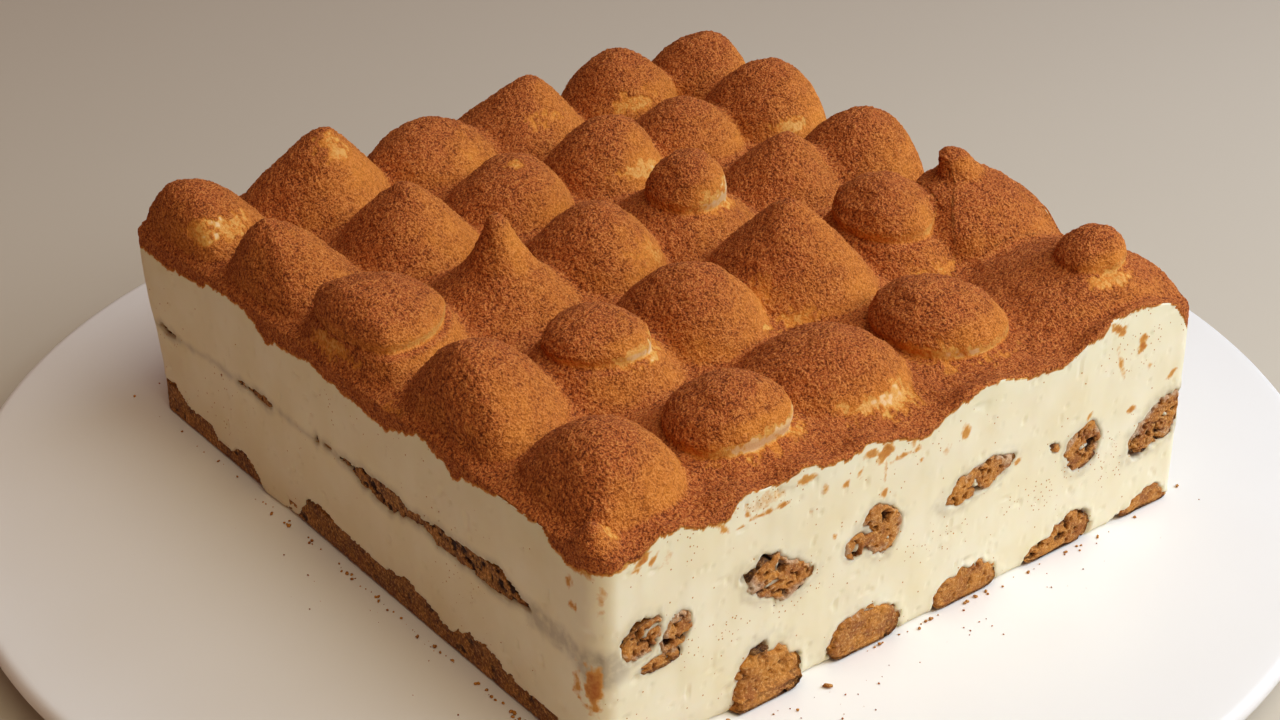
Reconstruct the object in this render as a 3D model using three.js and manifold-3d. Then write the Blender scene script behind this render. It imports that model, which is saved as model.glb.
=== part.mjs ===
// A square tiramisu on its round plate: two rows of sponge fingers set in cream, under piped mounds
// of cream that are dusted with cocoa. Millimetres, +Z up. The origin is the centre of the plate's
// underside, and the cut face that shows the ends of the fingers faces -Y.
import * as THREE from "three";
import { mergeVertices } from "three/addons/utils/BufferGeometryUtils.js";
import Module from "manifold-3d";

const wasm = await Module();
wasm.setup();

// Driving dimensions. Heights of the cake's pieces count from the plate's top, and their X and Y
// from the cake's front left corner.
const gap = 0.3; // left between two pieces that touch
const plate = { radius: 164, height: 12, footRadius: 110, footHeight: 2, rimThickness: 5 };
const cake = { width: 170, depth: 185, left: -87, front: -97.5, cornerRadius: 5 };
const cream = { seamHeight: 26, topHeight: 46 };
const foot = 49.5; // where the mounds' outlines start
const bed = { level: 48.3, slope: 0.45, reach: 45 }; // the mounds run down to it at this slope
const moundShape = {
  faceRoom: 1.07, // a foot that is squeezed by a cut face reaches this share of the way to it
  squeezeSoftness: 0.22,
  leanPower: 1.3, // the higher, the more a mound leans
};
const finger = {
  shoulder: 0.4, // how far up a lying finger's sides are upright, of its height
  underside: 0.95, // its flat underside, of its width
  stations: [0.02, 0.12, 0.25, 0.6], // sections along the way, of the cake's depth
  settledBy: 0.25, // where it has reached its own line, of the cake's depth
  wander: { width: 0.6, length: 19, shift: 1.7 },
  overrun: 4, // how far it runs on before it is cut at the cake's faces
};

// How finely the round forms are divided
const plateSegments = 72;
const rimSteps = 6;
const cornerSteps = 4;
const fingerSides = 12;
const angles = Array.from({ length: fingerSides }, (_, side) => (2 * Math.PI * side) / fingerSides);
const moundSegments = 14;
const faceSteps = 8;

// Where each finger's front end shows on the cut face, and the line that it settles on behind it.
// width and height are the finger's section. A finger in the middle row also has the height of its
// centre, and its section leans at the front by tilt, in degrees.
const lowerFingers = [
  { frontX: 9.5, x: 9.5, width: 22, height: 9.5 },
  { frontX: 41, x: 39.5, width: 20, height: 12 },
  { frontX: 69.5, x: 69.5, width: 19.5, height: 10 },
  { frontX: 99.5, x: 99.5, width: 19.5, height: 9.5 },
  { frontX: 128.5, x: 129.5, width: 21, height: 9.5 },
  { frontX: 160, x: 160.5, width: 22, height: 9 },
];
const middleFingers = [
  { frontX: 15, x: 9.6, frontZ: 26, z: 26.5, width: 20.5, height: 12, tilt: 4 },
  { frontX: 45.5, x: 40, frontZ: 27.5, z: 26.5, width: 18, height: 12.5, tilt: 8 },
  { frontX: 71.5, x: 70, frontZ: 28, z: 26.5, width: 17, height: 12.5, tilt: 10 },
  { frontX: 102, x: 100, frontZ: 29, z: 26.5, width: 21, height: 9.5, tilt: 16 },
  { frontX: 132.5, x: 130, frontZ: 26, z: 26.5, width: 18, height: 12, tilt: 12 },
  { frontX: 160, x: 160.4, frontZ: 23.5, z: 26, width: 19.5, height: 12.5, tilt: 20 },
];

// A mound's outline from its foot to its tip: fractions of its radius and of its height.
const outlines = {
  dome: [[1.14, 0], [1.03, 0.07], [0.98, 0.17], [0.87, 0.38], [0.68, 0.62], [0.43, 0.84], [0.18, 0.96]],
  cone: [[1.14, 0], [1.03, 0.06], [0.96, 0.16], [0.81, 0.33], [0.59, 0.56], [0.36, 0.78], [0.14, 0.95]],
  spike: [[1.15, 0], [0.98, 0.1], [0.72, 0.28], [0.46, 0.47], [0.26, 0.7], [0.11, 0.93]],
  horn: [[1.14, 0], [1.02, 0.1], [0.88, 0.33], [0.62, 0.55], [0.27, 0.7], [0.14, 0.93]],
};

// A cap is a flat button on a wider foot. neck is the height of the step below it.
const capOutline = (cap, neck) => [
  [1.14, 0],
  [(1.14 + cap) / 2, neck * 0.58],
  [cap + 0.06, neck * 0.95],
  [cap * 0.97, neck],
  [cap, neck + (1 - neck) * 0.24],
  [cap * 0.83, neck + (1 - neck) * 0.62],
  [cap * 0.42, neck + (1 - neck) * 0.93],
];

// A foot isn't quite round: it swells by depth, turns times a turn, each mound from its own angle
const swellings = [
  { turns: 2, depth: 0.035, shift: 1.3 },
  { turns: 3, depth: 0.025, shift: 2.9 },
];

// The piped mounds, row by row from the front and each row from the left. top is the tip's height,
// lean is how far the tip stands off the foot's centre, and cap and neck make the mound a cap.
const moundRows = [
  [
    { x: 15, y: 20, radius: 18.5, top: 65.3, lean: [0.5, -0.5], kind: "dome" },
    { x: 48, y: 21, radius: 17, top: 65.4, lean: [1.5, -1], cap: 0.78, neck: 0.2 },
    { x: 79, y: 26, radius: 18.5, top: 62.2, lean: [1, -1], kind: "dome" },
    { x: 113, y: 25, radius: 19, top: 63.7, lean: [-2, 2], cap: 0.79, neck: 0.13 },
    { x: 151.5, y: 19, radius: 25, top: 68.2, lean: [3, -2.2], cap: 0.31, neck: 0.57 },
  ],
  [
    { x: 12.5, y: 57, radius: 19, top: 69.5, lean: [-1, 1], kind: "cone" },
    { x: 44, y: 57, radius: 16.5, top: 67.3, lean: [-0.5, 0.5], cap: 0.7, neck: 0.48 },
    { x: 70, y: 60, radius: 17, top: 67.1, lean: [0.5, -0.5], kind: "dome" },
    { x: 102, y: 64, radius: 20, top: 72.5, lean: [0, 0], kind: "cone" },
    { x: 135, y: 65, radius: 17, top: 68, lean: [-2.5, 2], cap: 0.75, neck: 0.39 },
    { x: 158, y: 58, radius: 19.5, top: 72.3, lean: [-4.5, 3.5], kind: "horn" },
  ],
  [
    { x: 12, y: 97, radius: 19, top: 66.3, lean: [-1, 0.5], cap: 0.85, neck: 0.4 },
    { x: 46, y: 97, radius: 17, top: 72.6, lean: [-0.5, 0.5], kind: "spike" },
    { x: 73, y: 99, radius: 17, top: 66.3, lean: [1, -1], kind: "dome" },
    { x: 102, y: 102, radius: 18, top: 71, lean: [1.5, -1], cap: 0.56, neck: 0.43 },
    { x: 137, y: 105, radius: 16.5, top: 65.5, lean: [0, 0], kind: "cone" },
    { x: 160, y: 102.5, radius: 17, top: 66.3, lean: [1, 0], kind: "dome" },
  ],
  [
    { x: 11, y: 133, radius: 17.5, top: 68.4, lean: [-2.5, 2], kind: "cone" },
    { x: 44, y: 133, radius: 17, top: 68.2, lean: [0, 0], kind: "cone" },
    { x: 76.3, y: 138, radius: 16.2, top: 63.5, lean: [1.5, -1], kind: "dome" },
    { x: 106, y: 139, radius: 15.5, top: 66.3, lean: [2, -1.5], kind: "dome" },
    { x: 134, y: 142, radius: 15.5, top: 63.1, lean: [0.5, -0.5], kind: "dome" },
    { x: 160, y: 139, radius: 17, top: 68.3, lean: [0.5, -0.5], kind: "dome" },
  ],
  [
    { x: 9, y: 167.5, radius: 16, top: 65.2, lean: [-1, 1], kind: "dome" },
    { x: 41.5, y: 169, radius: 18, top: 70.2, lean: [1.5, -1], kind: "cone" },
    { x: 75, y: 171, radius: 17, top: 62.5, lean: [0.5, -0.5], kind: "dome" },
    { x: 103.5, y: 172.5, radius: 18, top: 66.5, lean: [3, -1], kind: "cone" },
    { x: 136, y: 171.5, radius: 16, top: 67, lean: [0.5, 0], kind: "dome" },
    { x: 161, y: 168, radius: 16.5, top: 67.2, lean: [1, -1], kind: "dome" },
  ],
];

// Swells of the bed along the cut front, each a bell-shaped rise between two mounds, and one at the
// front left corner
const swells = [
  { x: 3.2, y: 6, height: 6.2, radius: 4.2 },
  { x: 34, y: 0, height: 3.6, radius: 8 },
  { x: 50, y: 0, height: 2.6, radius: 8 },
  { x: 67, y: 0, height: 1.6, radius: 7 },
  { x: 106, y: 0, height: 3.6, radius: 8 },
  { x: 138, y: 0, height: 5.6, radius: 7 },
  { x: 156, y: 0, height: 6, radius: 10 },
];
const swellSegments = 10;
const bellSteps = [1.6, 1.1, 0.65, 0.3]; // where the bell's outline has points, of its radius
const mounds = moundRows.flat();

const materials = {
  porcelain: () => new THREE.MeshStandardMaterial({ color: "#f3f0ea", roughness: 0.25, metalness: 0 }),
  sponge: () => new THREE.MeshStandardMaterial({ color: "#9c6230", roughness: 0.95, metalness: 0 }),
  cream: () => new THREE.MeshStandardMaterial({ color: "#efe7cc", roughness: 0.6, metalness: 0 }),
  cocoa: () => new THREE.MeshStandardMaterial({ color: "#a5622f", roughness: 1, metalness: 0 }),
};

// A closed geometry as a solid that can be cut
function toSolid(geometry) {
  geometry.deleteAttribute("normal");
  geometry.deleteAttribute("uv");
  const merged = mergeVertices(geometry, 1e-4);
  const corners = merged.index.array;
  const faces = [];
  for (let i = 0; i < corners.length; i += 3) {
    const [a, b, c] = corners.slice(i, i + 3);
    if (a !== b && b !== c && c !== a) faces.push(a, b, c); // a lathe's faces at the axis are lines
  }
  return new wasm.Manifold(
    new wasm.Mesh({
      numProp: 3,
      vertProperties: merged.attributes.position.array,
      triVerts: new Uint32Array(faces),
    }),
  );
}

// A solid as a named mesh
function toMesh(name, solid, material) {
  const { numProp, vertProperties, triVerts } = solid.getMesh();
  const geometry = new THREE.BufferGeometry();
  geometry.setAttribute("position", new THREE.BufferAttribute(vertProperties, numProp));
  geometry.setIndex(new THREE.BufferAttribute(triVerts, 1));
  geometry.computeVertexNormals();
  const mesh = new THREE.Mesh(geometry, material());
  mesh.name = name;
  return mesh;
}

// A flat round slab: a low foot, an underside that rises to the rim, and a rim with a round edge.
function plateSolid() {
  const { radius, height, footRadius, footHeight, rimThickness } = plate;
  const round = rimThickness / 2;
  const profile = [
    new THREE.Vector2(0, 0),
    new THREE.Vector2(footRadius, 0),
    new THREE.Vector2(footRadius + footHeight, footHeight),
  ];
  for (let i = 0; i <= rimSteps; i++) {
    const angle = Math.PI * (i / rimSteps - 0.5);
    profile.push(
      new THREE.Vector2(radius - round + round * Math.cos(angle), height - round + round * Math.sin(angle)),
    );
  }
  profile.push(new THREE.Vector2(0, height));
  return toSolid(new THREE.LatheGeometry(profile, plateSegments).rotateX(Math.PI / 2));
}

// The cake's plan: a rectangle with round corners, as a list of points that runs anticlockwise
function cakePlan() {
  const { width, depth, cornerRadius: r } = cake;
  const centres = [[width - r, r], [width - r, depth - r], [r, depth - r], [r, r]];
  return centres.flatMap(([x, y], quarter) =>
    Array.from({ length: cornerSteps + 1 }, (_, i) => {
      const angle = (Math.PI / 2) * (quarter - 1 + i / cornerSteps);
      return new THREE.Vector2(x + r * Math.cos(angle), y + r * Math.sin(angle));
    }),
  );
}

// A prism that stands on a plan, from one height to another
function prism(plan, bottom, top) {
  const shape = new THREE.Shape(plan);
  const geometry = new THREE.ExtrudeGeometry(shape, { depth: top - bottom, bevelEnabled: false });
  return toSolid(geometry.translate(0, 0, bottom));
}

// The section of a finger that lies on the plate: a flat underside, upright sides and a round back.
// grow widens it all round.
function loafSection({ width, height }, grow) {
  const half = width / 2 + grow;
  const shoulder = height * finger.shoulder;
  return angles.map((angle) =>
    Math.sin(angle) > -0.01
      ? [half * Math.cos(angle), shoulder + (height - shoulder + grow) * Math.sin(angle)]
      : [(half * finger.underside * Math.cos(angle)) / Math.cos(angles[1]), gap - grow],
  );
}

// The section of a finger that is set in cream: an oval that leans by tilt, about its own centre
function ovalSection({ width, height }, grow, tilt) {
  return angles.map((angle) => {
    const across = (width / 2 + grow) * Math.cos(angle);
    const up = (height / 2 + grow) * Math.sin(angle);
    return [across * Math.cos(tilt) - up * Math.sin(tilt), across * Math.sin(tilt) + up * Math.cos(tilt)];
  });
}

// One finger: its section carried from the front to the back. It leaves its place on the cut face
// for its own line in the first part of the way, and wanders a little from there.
function fingerSolid(spec, index, grow = 0) {
  const { lerp, smoothstep, degToRad } = THREE.MathUtils;
  const ends = [-finger.overrun, cake.depth + finger.overrun];
  const stations = [ends[0], ...finger.stations.map((part) => part * cake.depth), ends[1]];
  const positions = stations.flatMap((y) => {
    const settled = smoothstep(y, 0, cake.depth * finger.settledBy);
    const { width, length, shift } = finger.wander;
    const wander = width * settled * Math.sin(y / length + shift * index);
    const centreX = lerp(spec.frontX, spec.x, settled) + wander;
    if (spec.z === undefined) {
      return loafSection(spec, grow).flatMap(([x, z]) => [centreX + x, y, z]);
    }
    const centreZ = lerp(spec.frontZ, spec.z, settled);
    const tilt = degToRad(spec.tilt) * (1 - settled);
    return ovalSection(spec, grow, tilt).flatMap(([x, z]) => [centreX + x, y, centreZ + z]);
  });
  return toSolid(sleeve(positions, stations.length, angles.length));
}

// Closed rings of points, one behind another, joined into a sleeve with flat ends
function sleeve(positions, rings, sides) {
  const faces = [];
  for (let ring = 0; ring + 1 < rings; ring++) {
    for (let side = 0; side < sides; side++) {
      const next = (side + 1) % sides;
      const [a, b] = [ring * sides + side, ring * sides + next];
      faces.push(a, b + sides, b, a, a + sides, b + sides);
    }
  }
  const last = (rings - 1) * sides;
  for (let side = 1; side + 1 < sides; side++) {
    faces.push(0, side, side + 1, last, last + side + 1, last + side);
  }
  const geometry = new THREE.BufferGeometry();
  geometry.setAttribute("position", new THREE.Float32BufferAttribute(positions, 3));
  geometry.setIndex(faces);
  return geometry;
}

// The side of a line that keeps the points nearer to one mound, cut from a convex plan
function clipPlan(plan, normal, limit) {
  const kept = [];
  plan.forEach((point, i) => {
    const next = plan[(i + 1) % plan.length];
    const [here, there] = [point.dot(normal) - limit, next.dot(normal) - limit];
    if (here <= 0) kept.push(point);
    if (here * there < 0) kept.push(point.clone().lerp(next, here / (here - there)));
  });
  return kept;
}

// The ground of one mound: the cake's plan, cut half way to each neighbour. A wider mound takes more.
function moundPlan(mound) {
  const centre = new THREE.Vector2(mound.x, mound.y);
  return mounds.reduce((plan, other) => {
    if (other === mound) return plan;
    const normal = new THREE.Vector2(other.x, other.y).sub(centre);
    const distance = normal.length();
    normal.normalize();
    const share = (distance ** 2 + mound.radius ** 2 - other.radius ** 2) / (2 * distance);
    return clipPlan(plan, normal, centre.dot(normal) + share - gap / 2);
  }, cakePlan());
}

// How far a mound's foot reaches in one direction, of its radius: its swellings, or less where the
// front or the left face is near. The two are joined by a soft minimum.
function footReach(mound, index, angle) {
  const swelling = swellings.reduce(
    (sum, { turns, depth, shift }) => sum + depth * Math.sin(turns * angle + shift * index),
    1,
  );
  let toFace = Infinity;
  for (let step = 0; step <= faceSteps; step++) {
    const facing = Math.PI * (1 + step / faceSteps / 2); // from the left face round to the front
    const [c, s] = [Math.cos(facing), Math.sin(facing)];
    const room = cake.cornerRadius * (1 + c + s) - mound.x * c - mound.y * s;
    const towards = Math.cos(angle - facing);
    if (towards > 0.01) toFace = Math.min(toFace, room / towards);
  }
  const squeeze = toFace / (moundShape.faceRoom * mound.radius);
  const soft = moundShape.squeezeSoftness;
  return -soft * Math.log(Math.exp(-swelling / soft) + Math.exp(-squeeze / soft));
}

// A profile of [radius, height] points turned about the vertical line through a point
function turned(profile, segments) {
  const points = profile.map(([x, y]) => new THREE.Vector2(x, y));
  return new THREE.LatheGeometry(points, segments).rotateX(Math.PI / 2);
}

// One swell of the bed, down to where the mounds stand
function swellSolid({ x, y, height, radius }, base) {
  const bell = bellSteps.map((share) => [share * radius, bed.level + height * Math.exp(-(share ** 2))]);
  const edge = bell[0][0];
  const geometry = turned([[0, base], [edge, base], ...bell, [0, bed.level + height]], swellSegments);
  return toSolid(geometry.translate(x, y, 0));
}

// One mound: its outline turned about a leaning axis and made a little uneven, on the bed of cream
// with its swells, and cut off at its neighbours and at the cake's faces.
function moundSolid(mound, index) {
  const base = cream.topHeight + gap;
  const rise = mound.top - foot;
  const outline = mound.kind ? outlines[mound.kind] : capOutline(mound.cap, mound.neck);
  const shape = outline.map(([across, up]) => [across * mound.radius, foot + up * rise]);
  const footEnd = shape[0][0] + (foot - bed.level) / bed.slope;
  const edge = [[0, base], [bed.reach, base], [bed.reach, bed.level], [footEnd, bed.level]];
  const geometry = turned([...edge, ...shape, [0, mound.top]], moundSegments);
  const points = geometry.attributes.position;
  for (let i = 0; i < points.count; i++) {
    const [x, y, z] = [points.getX(i), points.getY(i), points.getZ(i)];
    const reach = z > bed.level ? footReach(mound, index, Math.atan2(y, x)) : 1;
    const leaning = THREE.MathUtils.clamp((z - foot) / rise, 0, 1) ** moundShape.leanPower;
    points.setXYZ(
      i,
      mound.x + x * reach + mound.lean[0] * leaning,
      mound.y + y * reach + mound.lean[1] * leaning,
      z,
    );
  }
  const ground = prism(moundPlan(mound), base - 1, mound.top + 1);
  return swells
    .reduce((solid, swell) => solid.add(swellSolid(swell, base)), toSolid(geometry))
    .intersect(ground);
}

const cakeGroup = new THREE.Group();
cakeGroup.position.set(cake.left, cake.front, plate.height);

// The fingers are cut flush at the cake's faces, and the cream keeps clear of them.
const faces = prism(cakePlan(), 0, cream.topHeight);
const fingerRows = { finger_lower: lowerFingers, finger_middle: middleFingers };
let lowerCream = prism(cakePlan(), gap, cream.seamHeight - gap / 2);
let upperCream = prism(cakePlan(), cream.seamHeight + gap / 2, cream.topHeight);
Object.entries(fingerRows).forEach(([name, specs]) => {
  specs.forEach((spec, i) => {
    const solid = fingerSolid(spec, i + 1).intersect(faces);
    cakeGroup.add(toMesh(`${name}_${i + 1}`, solid, materials.sponge));
    const room = fingerSolid(spec, i + 1, gap);
    lowerCream = lowerCream.subtract(room);
    upperCream = upperCream.subtract(room);
  });
});
cakeGroup.add(toMesh("cream_lower", lowerCream, materials.cream));
cakeGroup.add(toMesh("cream_upper", upperCream, materials.cream));

moundRows.forEach((row, r) => {
  row.forEach((mound, c) => {
    const solid = moundSolid(mound, mounds.indexOf(mound));
    cakeGroup.add(toMesh(`mound_${r + 1}_${c + 1}`, solid, materials.cocoa));
  });
});

const tiramisu = new THREE.Group();
tiramisu.add(toMesh("plate", plateSolid(), materials.porcelain), cakeGroup);

export default tiramisu;
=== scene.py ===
# A square tiramisu on its round white plate: sponge fingers in cut mascarpone cream, under piped
# mounds of cream that are dusted with cocoa. The shapes are worked out in millimetres from the
# cake's front left corner on the plate's top: x runs along the cut front, y to the back, z up.
import math

import bpy
import numpy as np
from mathutils import Euler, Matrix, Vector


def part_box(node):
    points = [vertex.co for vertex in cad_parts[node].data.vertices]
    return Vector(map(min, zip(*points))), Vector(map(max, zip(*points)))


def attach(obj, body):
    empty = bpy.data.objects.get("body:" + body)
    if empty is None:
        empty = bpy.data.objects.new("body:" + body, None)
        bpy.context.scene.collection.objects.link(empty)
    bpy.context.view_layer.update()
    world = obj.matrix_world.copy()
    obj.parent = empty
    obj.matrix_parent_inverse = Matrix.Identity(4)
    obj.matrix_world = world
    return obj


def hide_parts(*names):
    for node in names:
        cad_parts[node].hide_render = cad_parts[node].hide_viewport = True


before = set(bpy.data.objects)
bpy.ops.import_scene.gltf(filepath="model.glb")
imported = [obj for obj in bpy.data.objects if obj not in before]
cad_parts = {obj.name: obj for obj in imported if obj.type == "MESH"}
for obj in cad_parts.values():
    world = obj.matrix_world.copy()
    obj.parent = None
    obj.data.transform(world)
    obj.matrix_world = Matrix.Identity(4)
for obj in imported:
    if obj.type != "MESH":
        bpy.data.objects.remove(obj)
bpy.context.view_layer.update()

mm = 0.001
plateLow, plateHigh = (np.array(corner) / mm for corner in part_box("plate"))
creamLow, creamHigh = (np.array(corner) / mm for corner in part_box("cream_lower"))
cakeOrigin = np.array([creamLow[0], creamLow[1], plateHigh[2]])
plateCentre = (plateLow + plateHigh) / 2 - cakeOrigin

cake = {
    "width": creamHigh[0] - creamLow[0],
    "depth": creamHigh[1] - creamLow[1],
    "cornerRadius": 5.0,
    "creamTop": 46.0,  # the top of the level cream, below the mounds
}


# 0 below low, 1 above high, and an S-shaped rise between them
def rise(value, low, high):
    share = np.clip((value - low) / (high - low), 0, 1)
    return share * share * (3 - 2 * share)


# Value noise from -1 to 1: a random number at each corner of a lattice of boxes, blended smoothly
# inside each box. cell is the box's size in millimetres, one number or three. The long numbers
# scramble a corner's place and the salt into its random number.
def noise(points, cell, salt=0):
    scaled = points / np.asarray(cell, float)
    base = np.floor(scaled).astype(np.int64)
    part = scaled - base
    part = part * part * (3 - 2 * part)
    total = np.zeros(points.shape[:-1])
    for corner in range(8):
        step = np.array([corner & 1, corner >> 1 & 1, corner >> 2 & 1])
        key = ((base + step) * np.array([73856093, 19349663, 83492791])).sum(-1) + salt * 971287
        key = ((key ^ (key >> 13)) * 1274126177) & 0xFFFFFFFF
        key = ((key ^ (key >> 15)) * 2246822519) & 0xFFFFFFFF
        value = ((key ^ (key >> 16)) & 0xFFFF) / 32767.5 - 1
        total += value * np.where(step, part, 1 - part).prod(-1)
    return total


# The corners of each square of a grid of points, row by row. closed joins the last column to the
# first. The faces look along (next column) x (next row).
def gridQuads(rows, columns, closed=False):
    across = np.arange(columns if closed else columns - 1)
    first = np.arange(rows - 1)[:, None] * columns
    a = first + across
    b = first + (across + 1) % columns
    return np.stack([a, b, b + columns, a + columns], -1).reshape(-1, 4)


# Unit normals of a grid of points: the sum of the normals of the squares round each point, each
# the cross product of the square's diagonals
def gridNormals(grid, closed=False):
    if closed:
        grid = np.concatenate([grid[:, -1:], grid, grid[:, :1]], 1)
    rising = grid[1:, 1:] - grid[:-1, :-1]
    falling = grid[1:, :-1] - grid[:-1, 1:]
    squares = np.pad(np.cross(rising, falling), ((1, 1), (1, 1), (0, 0)))
    normal = squares[1:, 1:] + squares[:-1, 1:] + squares[1:, :-1] + squares[:-1, :-1]
    if closed:
        normal = normal[:, 1:-1]
    return normal / np.maximum(np.linalg.norm(normal, axis=-1, keepdims=True), 1e-9)


# The triangles that close the first and the last row of a closed grid, each round a point of its
# own. These two points come after the grid's.
def endTriangles(rows, columns):
    ring = np.arange(columns)
    following = (ring + 1) % columns
    total, lastRow = rows * columns, (rows - 1) * columns
    first = np.stack([np.full(columns, total), following, ring], -1)
    last = np.stack([np.full(columns, total + 1), lastRow + ring, lastRow + following], -1)
    return np.concatenate([first, last])


# Puts a finished shape into a mesh of its own, with one number a point for each named value
def makePiece(name, points, quads, triangles, values, material, nodes=()):
    corners = np.concatenate([quads.ravel(), triangles.ravel()])
    quadStarts = np.arange(len(quads)) * 4
    starts = np.concatenate([quadStarts, len(quads) * 4 + np.arange(len(triangles)) * 3])
    mesh = bpy.data.meshes.new(name)
    mesh.vertices.add(len(points))
    mesh.vertices.foreach_set("co", ((points + cakeOrigin) * mm).astype(np.float32).ravel())
    mesh.loops.add(len(corners))
    mesh.loops.foreach_set("vertex_index", corners.astype(np.int32))
    mesh.polygons.add(len(starts))
    mesh.polygons.foreach_set("loop_start", starts.astype(np.int32))
    mesh.polygons.foreach_set("use_smooth", np.ones(len(starts), bool))
    mesh.update(calc_edges=True)
    for key, value in values.items():
        layer = mesh.attributes.new(key, "FLOAT", "POINT")
        layer.data.foreach_set("value", value.astype(np.float32).ravel())
    mesh.materials.append(material)
    piece = bpy.data.objects.new(name, mesh)
    bpy.context.scene.collection.objects.link(piece)
    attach(piece, "root")
    if nodes:
        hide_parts(*nodes)


planDirections = 32
planAngles = 2 * np.pi * np.arange(planDirections) / planDirections
planNormals = np.stack([np.cos(planAngles), np.sin(planAngles)], -1)
cornerCentres = np.array(
    [
        [x, y]
        for x in (cake["cornerRadius"], cake["width"] - cake["cornerRadius"])
        for y in (cake["cornerRadius"], cake["depth"] - cake["cornerRadius"])
    ]
)
planLimits = (planNormals @ cornerCentres.T).max(1) + cake["cornerRadius"]


# How far each point lies inside the cake's faces, and the outward normal of the nearest face
def insideFaces(x, y):
    room = planLimits - (x[..., None] * planNormals[:, 0] + y[..., None] * planNormals[:, 1])
    nearest = room.argmin(-1)
    return room.min(-1), planNormals[nearest]


moundLook = {
    "gridSize": 139,  # points each way over one mound
    "foot": 49.5,
    "skirtSlope": 0.45,
    "softness": 1.5,  # how far two mounds melt into each other
    "meltReach": 16.0,  # how far past its radius a mound still raises the cream
    "neighbourReach": 90.0,  # mounds further apart share no edge
    "profileSoftness": 1.5,
    "profileStep": 0.1,
    "skirtReach": 30.0,  # how far a mound's outline runs on past its radius
    "faceRoom": 1.07,  # a squeezed foot's reach over the radius
    "squeezeSoftness": 0.3,
    "squeezePower": 0.7,  # how soon below the tip the squeeze begins
    "overlap": 0.1,
    "edgeRadius": 0.6,  # the worn edge where the mounds are cut
    "edgeDip": 2.0,  # how steeply the cocoa's edge falls from the cut face inwards
    "edgeBlur": 0.5,  # how far above and below its edge the cocoa thins out
    "wobbleReach": 3.0,  # how far in from a cut face its wobble is felt
    "lumpsFrom": 4.0,  # how far in from it the lumps have their full height
    "fullGrain": 0.7,  # the cover on which the grains have theirs
    "leanPower": 1.3,
    "baseHeight": 46.35,
    "wallInset": 1.2,  # how far the wall under a mound's rim is drawn in
    "dents": 0.5,  # heights of the cream's dents, and of the cocoa's lumps, clots and grains
    "lumps": 0.3,
    "clots": 0.23,
    "grains": 0.14,
}

# The bed of cream that the mounds stand on: its level, and where it swells along the cut front
bed = {
    "level": 48.3,
    "swells": [
        # x, y, height, radius
        (3.2, 6, 6.2, 4.2),
        (17, 0, 2.6, 6),
        (34, 0, 3.6, 8),
        (51, 0, 4.0, 8),
        (69, 0, 3.0, 8),
        (97, 0, 2.8, 6),
        (106, 0, 3.8, 8),
        (121, 0, 2.2, 7),
        (138, 0, 5.8, 7),
        (147, 0, 4.5, 5.5),
        (156, 0, 6.0, 10),
    ],
}

# Outlines from foot to tip, in fractions of a mound's radius and of its height over its foot
outlines = {
    "dome": [
        (1.14, 0), (1.03, 0.07), (0.98, 0.17), (0.87, 0.38), (0.68, 0.62), (0.43, 0.84), (0.18, 0.96),
    ],
    "cone": [
        (1.14, 0), (1.03, 0.06), (0.96, 0.16), (0.81, 0.33), (0.59, 0.56), (0.36, 0.78), (0.14, 0.95),
    ],
    "hill": [
        (1.14, 0), (1.03, 0.06), (0.97, 0.17), (0.85, 0.36), (0.65, 0.6), (0.42, 0.81), (0.2, 0.95),
    ],
    "spike": [(1.15, 0), (0.98, 0.1), (0.72, 0.28), (0.46, 0.47), (0.26, 0.7), (0.11, 0.93)],
    "horn": [(1.14, 0), (1.02, 0.1), (0.88, 0.33), (0.62, 0.55), (0.3, 0.7), (0.18, 0.93)],
}


# A cap is a flat button on a wider foot. width is the button's share of the radius and neck is
# the height of the step below it.
def capOutline(width, neck):
    return [
        (1.14, 0),
        ((1.14 + width) / 2, neck * 0.58),
        (width + 0.06, neck * 0.95),
        (width * 0.97, neck),
        (width, neck + (1 - neck) * 0.24),
        (width * 0.82, neck + (1 - neck) * 0.58),
        (width * 0.42, neck + (1 - neck) * 0.9),
    ]


def piped(x, y, radius, top, leanX, leanY, outline):
    return {"x": x, "y": y, "radius": radius, "top": top, "lean": (leanX, leanY), "outline": outline}


def dome(x, y, radius, top, leanX, leanY):
    return piped(x, y, radius, top, leanX, leanY, outlines["dome"])


def cone(x, y, radius, top, leanX, leanY, kind="cone"):
    return piped(x, y, radius, top, leanX, leanY, outlines[kind])


def cap(x, y, radius, top, leanX, leanY, width, neck):
    return piped(x, y, radius, top, leanX, leanY, capOutline(width, neck))


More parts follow.
